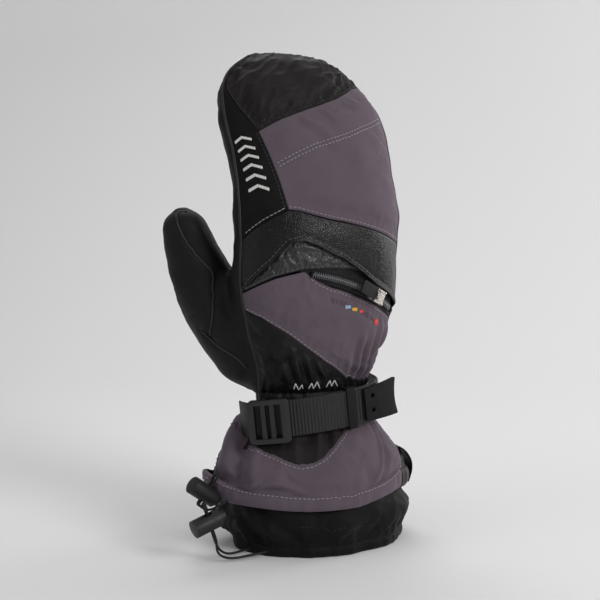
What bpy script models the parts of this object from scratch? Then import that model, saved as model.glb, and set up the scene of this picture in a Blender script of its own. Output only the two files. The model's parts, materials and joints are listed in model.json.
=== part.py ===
"""Insulated gauntlet ski mitten, right hand, standing on its cuff.

Frame: Z = 0 at the gaiter mouth, X = 0 midway across the whole outline,
+Z towards the fingertips, -Y the back of the hand, +Y the palm, -X the thumb side.
Lengths are in millimetres and angles in degrees; meshes are written in metres.
Every outer panel, inner layer, cord and fitting is its own closed solid.

Angles round a section run from 0 on the little-finger side (+X), through 90 on
the back of the hand (-Y), to 180 on the thumb side (-X) and 270 on the palm.
A depth is measured inwards from the outer surface.
"""
import math
import bpy
import bmesh
import numpy as np
from mathutils import Vector, Matrix

for stale in list(bpy.data.objects):
    bpy.data.objects.remove(stale, do_unlink=True)

# ---- driving dimensions ----
MM = 0.001
FORM_CENTRE = Vector((11.045, 0, 0))    # the cuff's centre, seen from the object origin
TOTAL_HEIGHT = 330.5
RIM_Z = 110.0                           # lower edge of the hand layers
WRIST_PIVOT_Z = 97.0                    # wrist fold line
GAUNTLET_TOP = 92.0
HEM_LOW, HEM_HIGH = 33.0, 46.0
GAITER_HEM_HIGH = 7.0
GAITER_TOP = 55.0
HEM_GAP = 0.5                           # between a hem and the panel above it
SQUARE = 2.25                           # superellipse exponent of the hand section
CUFF_WALL = 1.4                         # gauntlet panel thickness
ELASTIC_WALL = 1.2

# outer and inner depth of each layer of the hand and thumb
PANEL = (0.0, 1.2)
POCKET_BAG = (1.6, 1.85)
MEMBRANE = (2.55, 2.85)
INSULATION = (3.6, 7.6)
LINING = (8.1, 9.1)
THUMB_INSULATION = (2.4, 6.4)
THUMB_LINING = (6.9, 7.8)

# ---- measured stations ----
# hand: z, centre x, centre y, half width, back depth, palm depth, tilt
HAND = [
    (104, 0, 0, 41, 26.5, 26.5, 0), (RIM_Z, 0, 0, 42, 27, 27, 0), (126, 0, -1, 45.5, 30.5, 31, 0),
    (148, 1, -2, 53, 34, 33, 0), (170, 1.5, -3.5, 58.5, 36, 32, 0),
    (195, 1.5, -4.5, 61, 36, 30, 0), (221, 2.5, -4, 61, 35, 28.5, 4),
    (245, 1.5, -1.5, 60.5, 32.5, 27, 10), (266, -.5, 3.5, 60, 29.5, 25.5, 17),
    (285, -3.5, 10, 58.5, 26, 23.5, 23), (301, -6.5, 17, 54, 22.5, 20.5, 28),
    (314, -9, 24, 46, 18, 17, 32), (323, -10.5, 29, 34, 13, 13, 35),
    (328.5, -11.5, 32.5, 20, 8, 8, 37), (TOTAL_HEIGHT, -12, 34, .8, .8, .8, 38)]
# thumb: centre x, y, z, radius
THUMB = [
    (-16, 10, 116, 19), (-28, 15, 127, 24), (-40, 21, 141, 26), (-50.5, 27, 156, 25),
    (-59.5, 31, 171, 23), (-67, 33, 186, 20.5), (-73, 34, 200, 18), (-77.5, 34, 212, 15),
    (-80, 34, 221, 10.5), (-81, 34, 227, .8)]
# cuff surfaces: z, centre x, centre y, half width, half depth
GAUNTLET = [
    (28, -1.5, 0, 71, 54), (34, -1.5, 0, 71, 54), (46, -.5, 0, 70, 52.5), (60, 0, 0, 65, 48),
    (72, 0, 0, 57, 42), (84, 0, 0, 47.5, 33), (92, 0, 0, 42, 27.5), (98, 0, 0, 40, 26)]
GAITER = [
    (-6, 6, 0, 58, 45), (0, 6, 0, 60, 47), (10, 6.5, 0, 62.5, 48.5), (25, 6, 0, 63.5, 49),
    (34, 2.5, 0, 59.5, 46), (45, 1, 0, 56, 43), (55, 0, 0, 52, 40), (62, 0, 0, 50, 38)]
ELASTIC = [(92.6, 0, 0, 41, 26.6), (101, 0, 0, 40.2, 25.9), (109.4, 0, 0, 41, 26.2)]

# seams across the back of the hand: angle, station number (0 at the rim)
SEAM_CAP = [(18, 9.3), (30, 9.2), (48, 8.97), (70, 8.45), (97.5, 7.92), (132, 7.42), (140, 7.3),
            (162, 7.1)]
SEAM_KNUCKLE = [(18, 4.35), (42, 4.53), (69, 4.78), (94.5, 5.03), (120, 5.28), (141, 4.98),
                (157.5, 4.68), (162, 4.6)]
SEAM_FLAP = [(18, 2.55), (27, 2.74), (45, 3.05), (63, 3.39), (75, 3.74), (88.5, 4.13),
             (112.5, 4.53), (120, 4.53), (133.5, 4.03), (153, 3.49), (162, 3.34)]
SEAM_WEDGE = [(60, 3.6), (72, 3.73), (82, 3.84), (95, 3.87), (109.5, 3.86), (130.5, 3.69),
              (153, 3.38), (162, 3.28)]
SEAM_POCKET = [(18, 2.05), (27, 2.2), (36, 2.36), (46, 2.53), (56, 2.72), (65, 2.89), (73, 3.03),
               (81, 3.17), (87, 3.28), (93, 3.39), (100, 3.55), (109.5, 3.82), (130.5, 3.65),
               (162, 3.24)]
SEAM_WRIST = [(18, 0.2), (58, 0.22), (73.5, .45), (97.5, 1.29), (121.5, 1.99), (144, 2.54),
              (162, 2.74)]
# seam up the index-finger side: station number, angle
SEAM_STRIP = [(4.6, 120.5), (5.28, 120), (5.53, 121.5), (6.28, 126), (7.42, 132), (8.5, 147),
              (9.3, 157), (9.71, 158)]
SEAM_HALF_GAP = 0.028       # in stations, about 0.6 mm
STRIP_HALF_GAP = 0.9        # degrees
LITTLE_SIDE_SEAM, THUMB_SIDE_SEAM = 16.0, 164.0     # angles of the two piped seams
PIPING_MARGIN = 1.35        # along the surface, piped seam to panel edge
PIPING_ARC = 0.0178         # surface length per degree, per mm of section depth
PIPING_RADIUS = 0.8
PIPING_DEPTH = 0.55

# ---- joints ----
CUFF_ORIGIN = (0, 0, 0)
HAND_ORIGIN = (0, 0, WRIST_PIVOT_Z)
THUMB_PIVOT = Vector((-64.0, 32.3, 180.0))
THUMB_AXIS = Vector((-7.5, 2.0, 15.0)).normalized()
THUMB_GAP = 3.0             # either side of the pivot


# ---- finishes: base colour, roughness, metalness ----
def finish(rgb, rough=0.8, metal=0.0):
    return dict(rgb=rgb, rough=rough, metal=metal)


NYLON_RGB = (.012, .011, .0115)
NYLON = finish(NYLON_RGB)
PIPING = finish(NYLON_RGB, rough=.4)
LEATHER = finish((.014, .013, .0135), rough=.5)
SOFTSHELL = finish((.098, .075, .094))
MEMBRANE_FILM = finish((.6, .6, .58))
WADDING = finish((.75, .75, .72))
LINING_CLOTH = finish((.05, .05, .055))
WHITE_THREAD = finish((.8, .8, .78), rough=.5)
BLUE_THREAD = finish((.35, .5, .7), rough=.5)
YELLOW_THREAD = finish((.8, .5, .05), rough=.5)
RED_THREAD = finish((.7, .03, .02), rough=.5)
ZIP_BLACK = finish((.02, .02, .02), rough=.4)
SLIDER_METAL = finish((.55, .53, .5), rough=.3, metal=1.0)
PULL_BLACK = finish((.018, .018, .018), rough=.5)
BUCKLE_BLACK = finish((.025, .025, .026), rough=.45)
KEEPER_BLACK = finish((.02, .02, .02), rough=.5)
TAB_BLACK = finish((.022, .022, .023), rough=.5)
BARREL_BLACK = finish((.02, .02, .02), rough=.45)
PLUNGER_BLACK = finish((.03, .03, .03), rough=.45)
SPRING_METAL = finish((.6, .6, .6), rough=.3, metal=1.0)
CORD_BLACK = finish((.015, .015, .015), rough=.5)


def material(name, rgb, rough, metal):
    mat = bpy.data.materials.new(name)
    mat.use_nodes = True
    shader = mat.node_tree.nodes["Principled BSDF"]
    shader.inputs["Base Color"].default_value = (*rgb, 1)
    shader.inputs["Roughness"].default_value = rough
    shader.inputs["Metallic"].default_value = metal
    mat.diffuse_color = (*rgb, 1)
    return mat


def mesh_object(name, solid):
    """Turn a solid into a linked object; the solid is freed."""
    bmesh.ops.recalc_face_normals(solid, faces=solid.faces)
    mesh = bpy.data.meshes.new(name)
    solid.to_mesh(mesh)
    solid.free()
    obj = bpy.data.objects.new(name, mesh)
    bpy.context.scene.collection.objects.link(obj)
    return obj


def add_piece(name, solid, look, origin=CUFF_ORIGIN):
    """One named solid in metres, with its origin on the joint it moves about."""
    bmesh.ops.remove_doubles(solid, verts=solid.verts, dist=1e-5)
    # normals are settled in millimetres, before the scale to metres
    bmesh.ops.recalc_face_normals(solid, faces=solid.faces)
    for v in solid.verts:
        v.co = (v.co - Vector(origin)) * MM
    mesh = bpy.data.meshes.new(name)
    solid.to_mesh(mesh)
    solid.free()
    obj = bpy.data.objects.new(name, mesh)
    obj.location = (Vector(origin) + FORM_CENTRE) * MM
    bpy.context.scene.collection.objects.link(obj)
    mesh.materials.append(material(name + "_mat", **look))
    mesh.shade_smooth()
    mesh.set_sharp_from_angle(angle=math.radians(35))


# ---- curves and surfaces ----
def spread(start, end, steps):
    return [start + (end - start) * k / steps for k in range(steps + 1)]


def lerp_table(table, x):
    """Straight-line lookup, held at both ends."""
    if x <= table[0][0]:
        return table[0][1]
    for (x0, y0), (x1, y1) in zip(table, table[1:]):
        if x <= x1:
            return y0 + (y1 - y0) * (x - x0) / (x1 - x0)
    return table[-1][1]


def spline(table, place):
    """Catmull-Rom curve through the rows; place counts rows from 0."""
    last = len(table) - 1
    place = min(max(place, 0.0), last - 1e-9)
    i = int(place)
    f = place - i
    p0, p1, p2, p3 = (np.array(table[min(max(k, 0), last)], float)
                      for k in (i - 1, i, i + 1, i + 2))
    return 0.5 * ((2 * p1) + (-p0 + p2) * f + (2 * p0 - 5 * p1 + 4 * p2 - p3) * f * f
                  + (-p0 + 3 * p1 - 3 * p2 + p3) * f ** 3)


def smooth_path(points, steps):
    rows = [tuple(p) for p in points]
    count = (len(rows) - 1) * steps
    return [Vector(spline(rows, k / steps)) for k in range(count)] + [Vector(rows[-1])]


def tangent_at(path, i):
    return (path[min(i + 1, len(path) - 1)] - path[max(i - 1, 0)]).normalized()


def section(row, angle, depth):
    """Point on the superellipse of one hand row, leaning by its tilt."""
    z, centre_x, centre_y, half_width, back, palm, lean = row
    c, s = math.cos(math.radians(angle)), math.sin(math.radians(angle))
    side = back if s >= 0 else palm
    x = math.copysign(abs(c) ** (2 / SQUARE), c) * max(half_width - depth, .2)
    y = -math.copysign(abs(s) ** (2 / SQUARE), s) * max(side - depth, .2)
    lean = math.radians(lean)
    return Vector((centre_x + x, centre_y + y * math.cos(lean), z - y * math.sin(lean)))


def hand(station, angle, depth=0.0):
    """Point on the hand surface; stations are counted from the rim."""
    return section(spline(HAND, station + 1), angle, depth)


def ring_point(table, z, angle, depth):
    """Point on a cuff surface at height z."""
    heights = [row[0] for row in table]
    i = max(k for k in range(len(heights)) if heights[k] <= z + 1e-9)
    i = min(i, len(heights) - 2)
    place = i + (z - heights[i]) / (heights[i + 1] - heights[i])
    _, centre_x, centre_y, half_width, half_depth = spline(table, place)
    c, s = math.cos(math.radians(angle)), math.sin(math.radians(angle))
    return Vector((centre_x + (half_width - depth) * c, centre_y - (half_depth - depth) * s, z))


def circle_points(centre, u, v, radius, sides):
    turns = [2 * math.pi * k / sides for k in range(sides)]
    return [centre + radius * (math.cos(a) * u + math.sin(a) * v) for a in turns]


# ---- solids ----
def shell(grid, outer_depth, inner_depth, closed=False):
    """Closed solid between grid(depth) at two depths; a grid is [row][column] of points."""
    solid = bmesh.new()
    outer, inner = ([[solid.verts.new(p) for p in row] for row in grid(depth)]
                    for depth in (outer_depth, inner_depth))
    face = solid.faces.new
    rows, cols = len(outer), len(outer[0])
    last = cols if closed else cols - 1
    for r in range(rows - 1):
        for c in range(last):
            e = (c + 1) % cols
            face((outer[r][c], outer[r][e], outer[r + 1][e], outer[r + 1][c]))
            face((inner[r][c], inner[r + 1][c], inner[r + 1][e], inner[r][e]))
    for c in range(last):
        e = (c + 1) % cols
        face((outer[0][c], inner[0][c], inner[0][e], outer[0][e]))
        face((outer[-1][c], outer[-1][e], inner[-1][e], inner[-1][c]))
    if not closed:
        for r in range(rows - 1):
            face((outer[r][0], outer[r + 1][0], inner[r + 1][0], inner[r][0]))
            face((outer[r][-1], inner[r][-1], inner[r + 1][-1], outer[r + 1][-1]))
    return solid


def loft(point_rings, tip=None):
    """Solid through rings of equal length, closed by a flat cap or by a fan to a tip."""
    solid = bmesh.new()
    rings = [[solid.verts.new(p) for p in ring] for ring in point_rings]
    sides = len(rings[0])
    for a, b in zip(rings, rings[1:]):
        for k in range(sides):
            m = (k + 1) % sides
            solid.faces.new((a[k], a[m], b[m], b[k]))
    solid.faces.new(list(reversed(rings[0])))
    if tip is None:
        solid.faces.new(rings[-1])
    else:
        top = solid.verts.new(tip)
        for k in range(sides):
            solid.faces.new((rings[-1][k], rings[-1][(k + 1) % sides], top))
    return solid


def tube(path, radius, sides):
    """Round tube along an open path."""
    path = [Vector(p) for p in path]
    normal = tangent_at(path, 0).orthogonal().normalized()
    rings = []
    for i, point in enumerate(path):
        tangent = tangent_at(path, i)
        normal = (normal - tangent * normal.dot(tangent)).normalized()
        rings.append(circle_points(point, normal, tangent.cross(normal), radius, sides))
    return loft(rings)


def ribbon(path, across, start, end, thickness):
    """Flat band along a path, from start to end along the unit vector across."""
    rings = []
    half = thickness / 2
    for i, point in enumerate(path):
        normal = tangent_at(path, i).cross(across)
        rings.append([point + normal * k + across * w
                      for k, w in ((half, start), (half, end), (-half, end), (-half, start))])
    return loft(rings)


def box(centre, size):
    solid = bmesh.new()
    bmesh.ops.create_cube(solid, size=1)
    for v in solid.verts:
        v.co = Vector([c + k * s for c, k, s in zip(centre, v.co, size)])
    return solid


def cylinder(radius, z0, z1, sides):
    turns = [2 * math.pi * k / sides for k in range(sides)]
    return loft([[Vector((radius * math.cos(a), radius * math.sin(a), z)) for a in turns]
                 for z in (z0, z1)])


def combine(first, second, operation):
    """Exact Boolean of copies of two solids."""
    target, cutter = mesh_object("tool", first.copy()), mesh_object("tool", second.copy())
    mod = target.modifiers.new("cut", "BOOLEAN")
    mod.operation, mod.solver, mod.object = operation, "EXACT", cutter
    depsgraph = bpy.context.evaluated_depsgraph_get()
    result = bmesh.new()
    result.from_mesh(target.evaluated_get(depsgraph).to_mesh())
    for obj in (target, cutter):
        bpy.data.objects.remove(obj, do_unlink=True)
    bmesh.ops.remove_doubles(result, verts=result.verts, dist=1e-4)
    return result


def one_body(solid):
    """Drop the crumbs a cut leaves, keeping the piece with most corners."""
    groups, seen = [], set()
    for start in solid.verts:
        if start in seen:
            continue
        stack, group = [start], [start]
        seen.add(start)
        while stack:
            for edge in stack.pop().link_edges:
                for v in edge.verts:
                    if v not in seen:
                        seen.add(v)
                        stack.append(v)
                        group.append(v)
        groups.append(group)
    groups.sort(key=len)
    for group in groups[:-1]:
        bmesh.ops.delete(solid, geom=group, context="VERTS")
    return solid


def moved(solid, matrix):
    for v in solid.verts:
        v.co = matrix @ v.co
    return solid


def frame_matrix(x_axis, y_axis, z_axis, centre):
    matrix = Matrix((x_axis, y_axis, z_axis)).transposed().to_4x4()
    matrix.translation = centre
    return matrix


# ---- hand and thumb volumes at a given depth ----
MIN_RING = 2.5              # a smaller ring is left out of an inner volume


def hand_volume(depth):
    tip = hand(len(HAND) - 2, 90)
    tip = Vector((tip.x, tip.y - depth * .45, tip.z - depth * .88))
    rings = [[section(row, 15 * k, depth) for k in range(24)] for row in HAND
             if min(row[4], row[5]) - depth >= MIN_RING
             and (row[0] <= tip.z - 2.5 or depth == 0)]
    return loft(rings, tip)


def thumb_volume(depth):
    path = [Vector(row[:3]) for row in THUMB]
    top_z = THUMB[-1][2] - depth - 1.5
    rings = []
    for i, (_, _, z, radius) in enumerate(THUMB[:-1]):
        if radius - depth >= MIN_RING and (i < 7 or z < top_z):
            tangent = tangent_at(path, i)
            u = (Vector((1, 0, 0)) - tangent * tangent.x).normalized()
            rings.append(circle_points(path[i], u, tangent.cross(u), radius - depth, 12))
    return loft(rings, path[-1] - Vector((-.1, 0, 1)) * depth)


def thumb_slab(low, high):
    """Big block between two distances along the thumb axis from its pivot."""
    turn = THUMB_AXIS.to_track_quat("Z", "Y").to_matrix().to_4x4()
    block = box((0, 0, (low + high) / 2), (130, 130, high - low))
    return moved(block, Matrix.Translation(THUMB_PIVOT) @ turn)


THUMB_LOW = thumb_slab(-130, -THUMB_GAP)
THUMB_HIGH = thumb_slab(THUMB_GAP, 130)
ABOVE_RIM = box((0, 0, RIM_Z + 150), (400, 400, 300))


def hand_layer(outer_depth, inner_depth):
    """Hand and thumb root, cut at the rim and thumb joint; the hollow runs on past both."""
    root = combine(thumb_volume(outer_depth), THUMB_LOW, "INTERSECT")
    outer = combine(combine(hand_volume(outer_depth), root, "UNION"), ABOVE_RIM, "INTERSECT")
    inner = combine(hand_volume(inner_depth), thumb_volume(inner_depth), "UNION")
    return one_body(combine(outer, inner, "DIFFERENCE"))


def thumb_layer(outer_depth, inner_depth):
    outer = combine(thumb_volume(outer_depth), THUMB_HIGH, "INTERSECT")
    return combine(outer, thumb_volume(inner_depth), "DIFFERENCE")


SPLIT_HALF_GAP = 0.25       # either side of a line parting the back from the palm


def back_half(shift, line):
    """Everything on the back-of-hand side of a (y, z) line shifted in y."""
    points = [(y + shift, z) for y, z in line]
    outline = [(-120, points[0][1])] + points + [(-120, points[-1][1])]
    return loft([[Vector((x, y, z)) for y, z in outline] for x in (-150, 150)])


def split(solid, line):
    """The back and palm parts of a solid, with a gap between."""
    return (combine(solid, back_half(-SPLIT_HALF_GAP, line), "INTERSECT"),
            combine(solid, back_half(SPLIT_HALF_GAP, line), "DIFFERENCE"))


# ---- outer panels of the back of the hand ----
def piping_margin(station):
    """Degrees between a piped seam and the panel beside it."""
    row = spline(HAND, station + 1)
    return PIPING_MARGIN / (PIPING_ARC * max(min(row[4], row[5]), 3.0))


def back_low(station):
    return LITTLE_SIDE_SEAM + piping_margin(station)


def back_high(station):
    return THUMB_SIDE_SEAM - piping_margin(station)


def before_strip(station):
    return lerp_table(SEAM_STRIP, station) - STRIP_HALF_GAP


def after_strip(station):
    return lerp_table(SEAM_STRIP, station) + STRIP_HALF_GAP


def level(value):
    return lambda _: value


def above(table, gap=SEAM_HALF_GAP):
    return lambda angle: lerp_table(table, angle) + gap


def below(table, gap=SEAM_HALF_GAP):
    return lambda angle: lerp_table(table, angle) - gap


def back_panel(name, look, low, high, left=back_low, right=back_high, depths=PANEL,
               rows=4, cols=12):
    """Panel between two seams (station at an angle) and two edges (angle at a station)."""
    def point(r, c, depth):
        angle = 90.0
        for _ in range(6):      # settles the corner where seam and edge depend on each other
            station = low(angle) + (high(angle) - low(angle)) * r / rows
            angle = left(station) + (right(station) - left(station)) * c / cols
        return hand(station, angle, depth)

    def grid(depth):
        return [[point(r, c, depth) for c in range(cols + 1)] for r in range(rows + 1)]
    add_piece(name, shell(grid, *depths), look, HAND_ORIGIN)


back_panel("finger_back_panel", SOFTSHELL, above(SEAM_KNUCKLE), below(SEAM_CAP),
           right=before_strip, rows=5, cols=9)
back_panel("fingertip_cap", NYLON, above(SEAM_CAP), level(12.1),
           right=lambda station: min(before_strip(station), back_high(station)), rows=5, cols=9)
back_panel("index_side_panel", NYLON, above(SEAM_KNUCKLE), level(9.4), left=after_strip,
           rows=7, cols=3)
back_panel("knuckle_band", LEATHER, above(SEAM_FLAP), below(SEAM_KNUCKLE), rows=3, cols=16)
back_panel("pocket_edge_panel", LEATHER, above(SEAM_WEDGE), below(SEAM_FLAP),
           left=level(79.0), right=level(155.0), rows=2, cols=10)
back_panel("hand_back_panel", SOFTSHELL, above(SEAM_WRIST), below(SEAM_POCKET))
back_panel("wrist_back_panel", NYLON, level(0.0), below(SEAM_WRIST), rows=3)
back_panel("pocket_bag", NYLON, below(SEAM_POCKET, .1), above(SEAM_FLAP, 1.4),
           left=level(27.0), right=level(111.0), depths=POCKET_BAG, rows=3, cols=7)


# ---- leather palm with the thumb root, trimmed back from the two piped seams ----
def back_cutter_grid(depth):
    rows = []
    for station in [-1.4] + list(range(12)) + [12.45]:
        margin = piping_margin(station)
        angles = spread(LITTLE_SIDE_SEAM - margin, THUMB_SIDE_SEAM + margin, 12)
        rows.append([hand(station, angle, depth) for angle in angles])
    return rows


add_piece("palm_panel", combine(hand_layer(*PANEL), shell(back_cutter_grid, -4, 4), "DIFFERENCE"),
          LEATHER, HAND_ORIGIN)

for name, angle in (("thumb_side_piping", THUMB_SIDE_SEAM),
                    ("little_finger_piping", LITTLE_SIDE_SEAM)):
    seam_path = [hand(station, angle, PIPING_DEPTH) for station in spread(.05, 11.6, 26)]
    add_piece(name, tube(seam_path, PIPING_RADIUS, 6), PIPING, HAND_ORIGIN)

# ---- inner layers of the hand ----
# (y, z) line parting the wadding
HAND_SPLIT = [(0, 96), (0, 126), (-2, 150), (-3.5, 172), (-4, 200), (-3, 225), (0, 247),
              (5, 268), (11, 287), (18, 303), (26, 317), (36, 335)]
wadding_back, wadding_palm = split(hand_layer(*INSULATION), HAND_SPLIT)
add_piece("membrane_insert", hand_layer(*MEMBRANE), MEMBRANE_FILM, HAND_ORIGIN)
add_piece("insulation_back", wadding_back, WADDING, HAND_ORIGIN)
add_piece("insulation_palm", wadding_palm, WADDING, HAND_ORIGIN)
add_piece("hand_lining", hand_layer(*LINING), LINING_CLOTH, HAND_ORIGIN)

# ---- thumb ----
# (y, z) line parting the thumb leather
THUMB_SPLIT = [(26, 150), (31, 171), (33, 186), (34, 200), (34, 240)]
thumb_free = combine(thumb_volume(PANEL[0]), THUMB_HIGH, "INTERSECT")
for name, half in zip(("thumb_back_panel", "thumb_palm_panel"), split(thumb_free, THUMB_SPLIT)):
    add_piece(name, combine(half, thumb_volume(PANEL[1]), "DIFFERENCE"), LEATHER, THUMB_PIVOT)
add_piece("thumb_insulation", thumb_layer(*THUMB_INSULATION), WADDING, THUMB_PIVOT)
add_piece("thumb_lining", thumb_layer(*THUMB_LINING), LINING_CLOTH, THUMB_PIVOT)

# ---- pocket zip, laid on a circular arc through three points just above the hand ----
ZIP_POINTS = [hand(station, angle, -.9) for station, angle in ((3.72, 100), (3.2, 68), (2.6, 36))]
ZIP_ROLL = 24.5             # section roll about the arc's tangent
ZIP_START, ZIP_END = -3.0, 51.0     # degrees along the arc
SLIDER_AT = 32.6
COIL_TURNS = 26
COIL_CREST, COIL_ROOT = 1.25, .95   # radii
HINGE_HEIGHT = 4.9          # pull hinge above the arc


def circle_through(a, b, c):
    u, v = b - a, c - a
    n = u.cross(v)
    centre = a + (n.cross(u) * v.dot(v) + v.cross(n) * u.dot(u)) / (2 * n.dot(n))
    return centre, (a - centre).length, n.normalized()


ZIP_CENTRE, ZIP_RADIUS, ZIP_NORMAL = circle_through(*ZIP_POINTS)
ZIP_FIRST = (ZIP_POINTS[0] - ZIP_CENTRE).normalized()
ZIP_SECOND = ZIP_NORMAL.cross(ZIP_FIRST)


def zip_frame(degrees):
    """Frame on the zip arc: x across the tape, y along it, z outwards."""
    a = math.radians(degrees)
    outward = math.cos(a) * ZIP_FIRST + math.sin(a) * ZIP_SECOND
    tangent = -math.sin(a) * ZIP_FIRST + math.cos(a) * ZIP_SECOND
    roll = math.radians(ZIP_ROLL)
    up = math.cos(roll) * outward - math.sin(roll) * ZIP_NORMAL
    across = math.sin(roll) * outward + math.cos(roll) * ZIP_NORMAL
    return ZIP_CENTRE + ZIP_RADIUS * outward, across, tangent, up


def zip_matrix(degrees):
    point, across, tangent, up = zip_frame(degrees)
    return frame_matrix(across, tangent, up, point)


def zipper_tape():
    profile = [(-2.8, -1.9), (2.8, -1.9), (2.8, -1.45), (-2.8, -1.45)]
    rings = []
    for degrees in spread(ZIP_START - 1.2, ZIP_END + 1.2, 14):
        point, across, _, up = zip_frame(degrees)
        rings.append([point + x * across + y * up for x, y in profile])
    return loft(rings)


def zipper_coil():
    rings = []
    for k, degrees in enumerate(spread(ZIP_START, ZIP_END, COIL_TURNS * 2)):
        point, across, _, up = zip_frame(degrees)
        rings.append(circle_points(point, across, up, COIL_CREST if k % 2 else COIL_ROOT, 6))
    return loft(rings)


def zipper_slider():
    """Top plate, two side rails and two lugs for the pull."""
    solid = box((0, 0, 2.5), (7.0, 8.6, 1.8))
    for side in (-1, 1):
        solid = combine(solid, box((side * 2.75, 0, .4), (1.5, 8.6, 2.6)), "UNION")
        solid = combine(solid, box((side * 2.3, 0, 4.6), (1.1, 3.2, 3.0)), "UNION")
    return solid


def zipper_pull():
    """Narrow neck between the lugs and a wide grip."""
    neck = box((0, -1.1, HINGE_HEIGHT), (2.6, 3.4, 1.6))
    return combine(neck, box((0, -10.0, HINGE_HEIGHT), (8.6, 15.0, 1.9)), "UNION")


add_piece("zipper_tape", zipper_tape(), NYLON, HAND_ORIGIN)
add_piece("zipper_coil", zipper_coil(), ZIP_BLACK, HAND_ORIGIN)
for name, degrees in (("zipper_top_stop", ZIP_END + .9), ("zipper_bottom_stop", ZIP_START - .9)):
    add_piece(name, moved(box((0, 0, 0), (4.4, 1.0, 2.0)), zip_matrix(degrees)), ZIP_BLACK,
              HAND_ORIGIN)
slider_frame = zip_matrix(SLIDER_AT)
add_piece("zipper_slider", moved(zipper_slider(), slider_frame), SLIDER_METAL, ZIP_CENTRE)
add_piece("zipper_pull", moved(zipper_pull(), slider_frame), PULL_BLACK,
          slider_frame @ Vector((0, 0, HINGE_HEIGHT)))

# ---- sewn decoration, just above the panels ----
THREAD_BASE = -.35          # depths, so above the surface
BAR_TOP = -1.0
EMBROIDERY_TOP = -.95


def embroidery_grid(depth):
    """Strip that swells four times along its length."""
    rows = []
    for f in spread(0, 1, 24):
        half = 1.2 + 3.6 * abs(math.sin(f * math.pi * 4))
        station, angle = 5.62 + 1.78 * f, 141.0 + 8.5 * f
        rows.append([hand(station, angle + k * half, depth) for k in (-1, 0, 1)])
    return rows


add_piece("index_embroidery", shell(embroidery_grid, EMBROIDERY_TOP, THREAD_BASE), WHITE_THREAD,
          HAND_ORIGIN)


def bar_tack(name, look, station, angle, length, width):
    """Block length stations long and width degrees wide."""
    def grid(depth):
        return [[hand(station + length * r, angle + width * c, depth)
                 for c in (-.5, 0, .5)] for r in (-.5, 0, .5)]
    add_piece(name, shell(grid, BAR_TOP, THREAD_BASE), look, HAND_ORIGIN)


bar_tack("bar_tack_blue", BLUE_THREAD, 2.80, 84.0, .10, 3.0)
bar_tack("bar_tack_yellow", YELLOW_THREAD, 2.72, 79.0, .10, 3.0)
bar_tack("bar_tack_red", RED_THREAD, 2.64, 74.0, .10, 3.0)
bar_tack("bar_tack_end", RED_THREAD, 2.25, 57.0, .20, 4.0)


# ---- wrist, gauntlet and gaiter ----
# softshell to nylon seam on the little-finger side: z, angle
SEAM_SIDE = [(46, 36), (55, 22), (64, 12), (92, 8)]
SEAM_THUMB = 200.0          # angle of the same seam on the thumb side
SIDE_HALF_GAP = 0.4         # degrees
# lower edge of the inset panel: angle, z
INSET = [(72, 84), (78, 74), (88, 66), (97, 60.5), (104, 58.5), (112, 59.5), (122, 63),
         (134, 67), (146, 72), (156, 80)]
INSET_HALF_GAP = 0.8
PANEL_LOW = HEM_HIGH + HEM_GAP


def ring_solid(table, z0, z1, depth0, depth1, rows):
    def grid(depth):
        return [[ring_point(table, z, 15 * k, depth) for k in range(24)]
                for z in spread(z0, z1, rows)]
    return shell(grid, depth0, depth1, closed=True)


def back_shell_point(across, up, depth):
    """Point at two fractions of the back shell, which stops short of the inset panel."""
    z = PANEL_LOW + (GAUNTLET_TOP - PANEL_LOW) * up
    for _ in range(4):          # the side seam and the top edge depend on each other
        low = lerp_table(SEAM_SIDE, z) + SIDE_HALF_GAP
        angle = low + (SEAM_THUMB - SIDE_HALF_GAP - low) * across
        top = GAUNTLET_TOP
        if INSET[0][0] <= angle <= INSET[-1][0]:
            top = lerp_table(INSET, angle) - INSET_HALF_GAP
        z = PANEL_LOW + (top - PANEL_LOW) * up
    return ring_point(GAUNTLET, z, angle, depth)


def back_shell_grid(depth):
    return [[back_shell_point(c / 30, r / 4, depth) for c in range(31)] for r in range(5)]


def inset_grid(depth):
    columns = []
    for angle in spread(74.5, 153.5, 20):
        low = lerp_table(INSET, angle) + INSET_HALF_GAP
        columns.append([ring_point(GAUNTLET, z, angle, depth)
                        for z in spread(low, GAUNTLET_TOP, 3)])
    return [list(row) for row in zip(*columns)]


def palm_gauntlet_grid(depth):
    rows = []
    for z in spread(PANEL_LOW, GAUNTLET_TOP, 4):
        angles = spread(SEAM_THUMB + SIDE_HALF_GAP - 360,
                        lerp_table(SEAM_SIDE, z) - SIDE_HALF_GAP, 14)
        rows.append([ring_point(GAUNTLET, z, angle, depth) for angle in angles])
    return rows


def channel(table, z0, z1, wall, depth, exit_angle):
    """Hem folded to a C section open inwards, swept round to either side of the cord exit."""
    profile = [(z0, 0), (z1, 0), (z1, depth), (z1 - wall, depth), (z1 - wall, wall),
               (z0 + wall, wall), (z0 + wall, depth), (z0, depth)]
    rings = []
    for angle in spread(exit_angle + 11 - 360, exit_angle - 11, 36):
        ring = []
        for z, d in profile:
            base = ring_point(table, (z0 + z1) / 2, angle, d)
            ring.append(Vector((base.x, base.y, z)))
        rings.append(ring)
    return loft(rings)


def pull_on_loop():
    """Webbing standing off the little-finger side; its path is (x, z) points."""
    points = [(65.2, 60), (69.5, 57), (73.6, 51), (74.6, 45), (73.2, 39), (71.4, 35)]
    path = smooth_path([(x, 0, z) for x, z in points], 2)
    return ribbon(path, Vector((0, 1, 0)), -14, -2, 1.2)


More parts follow.
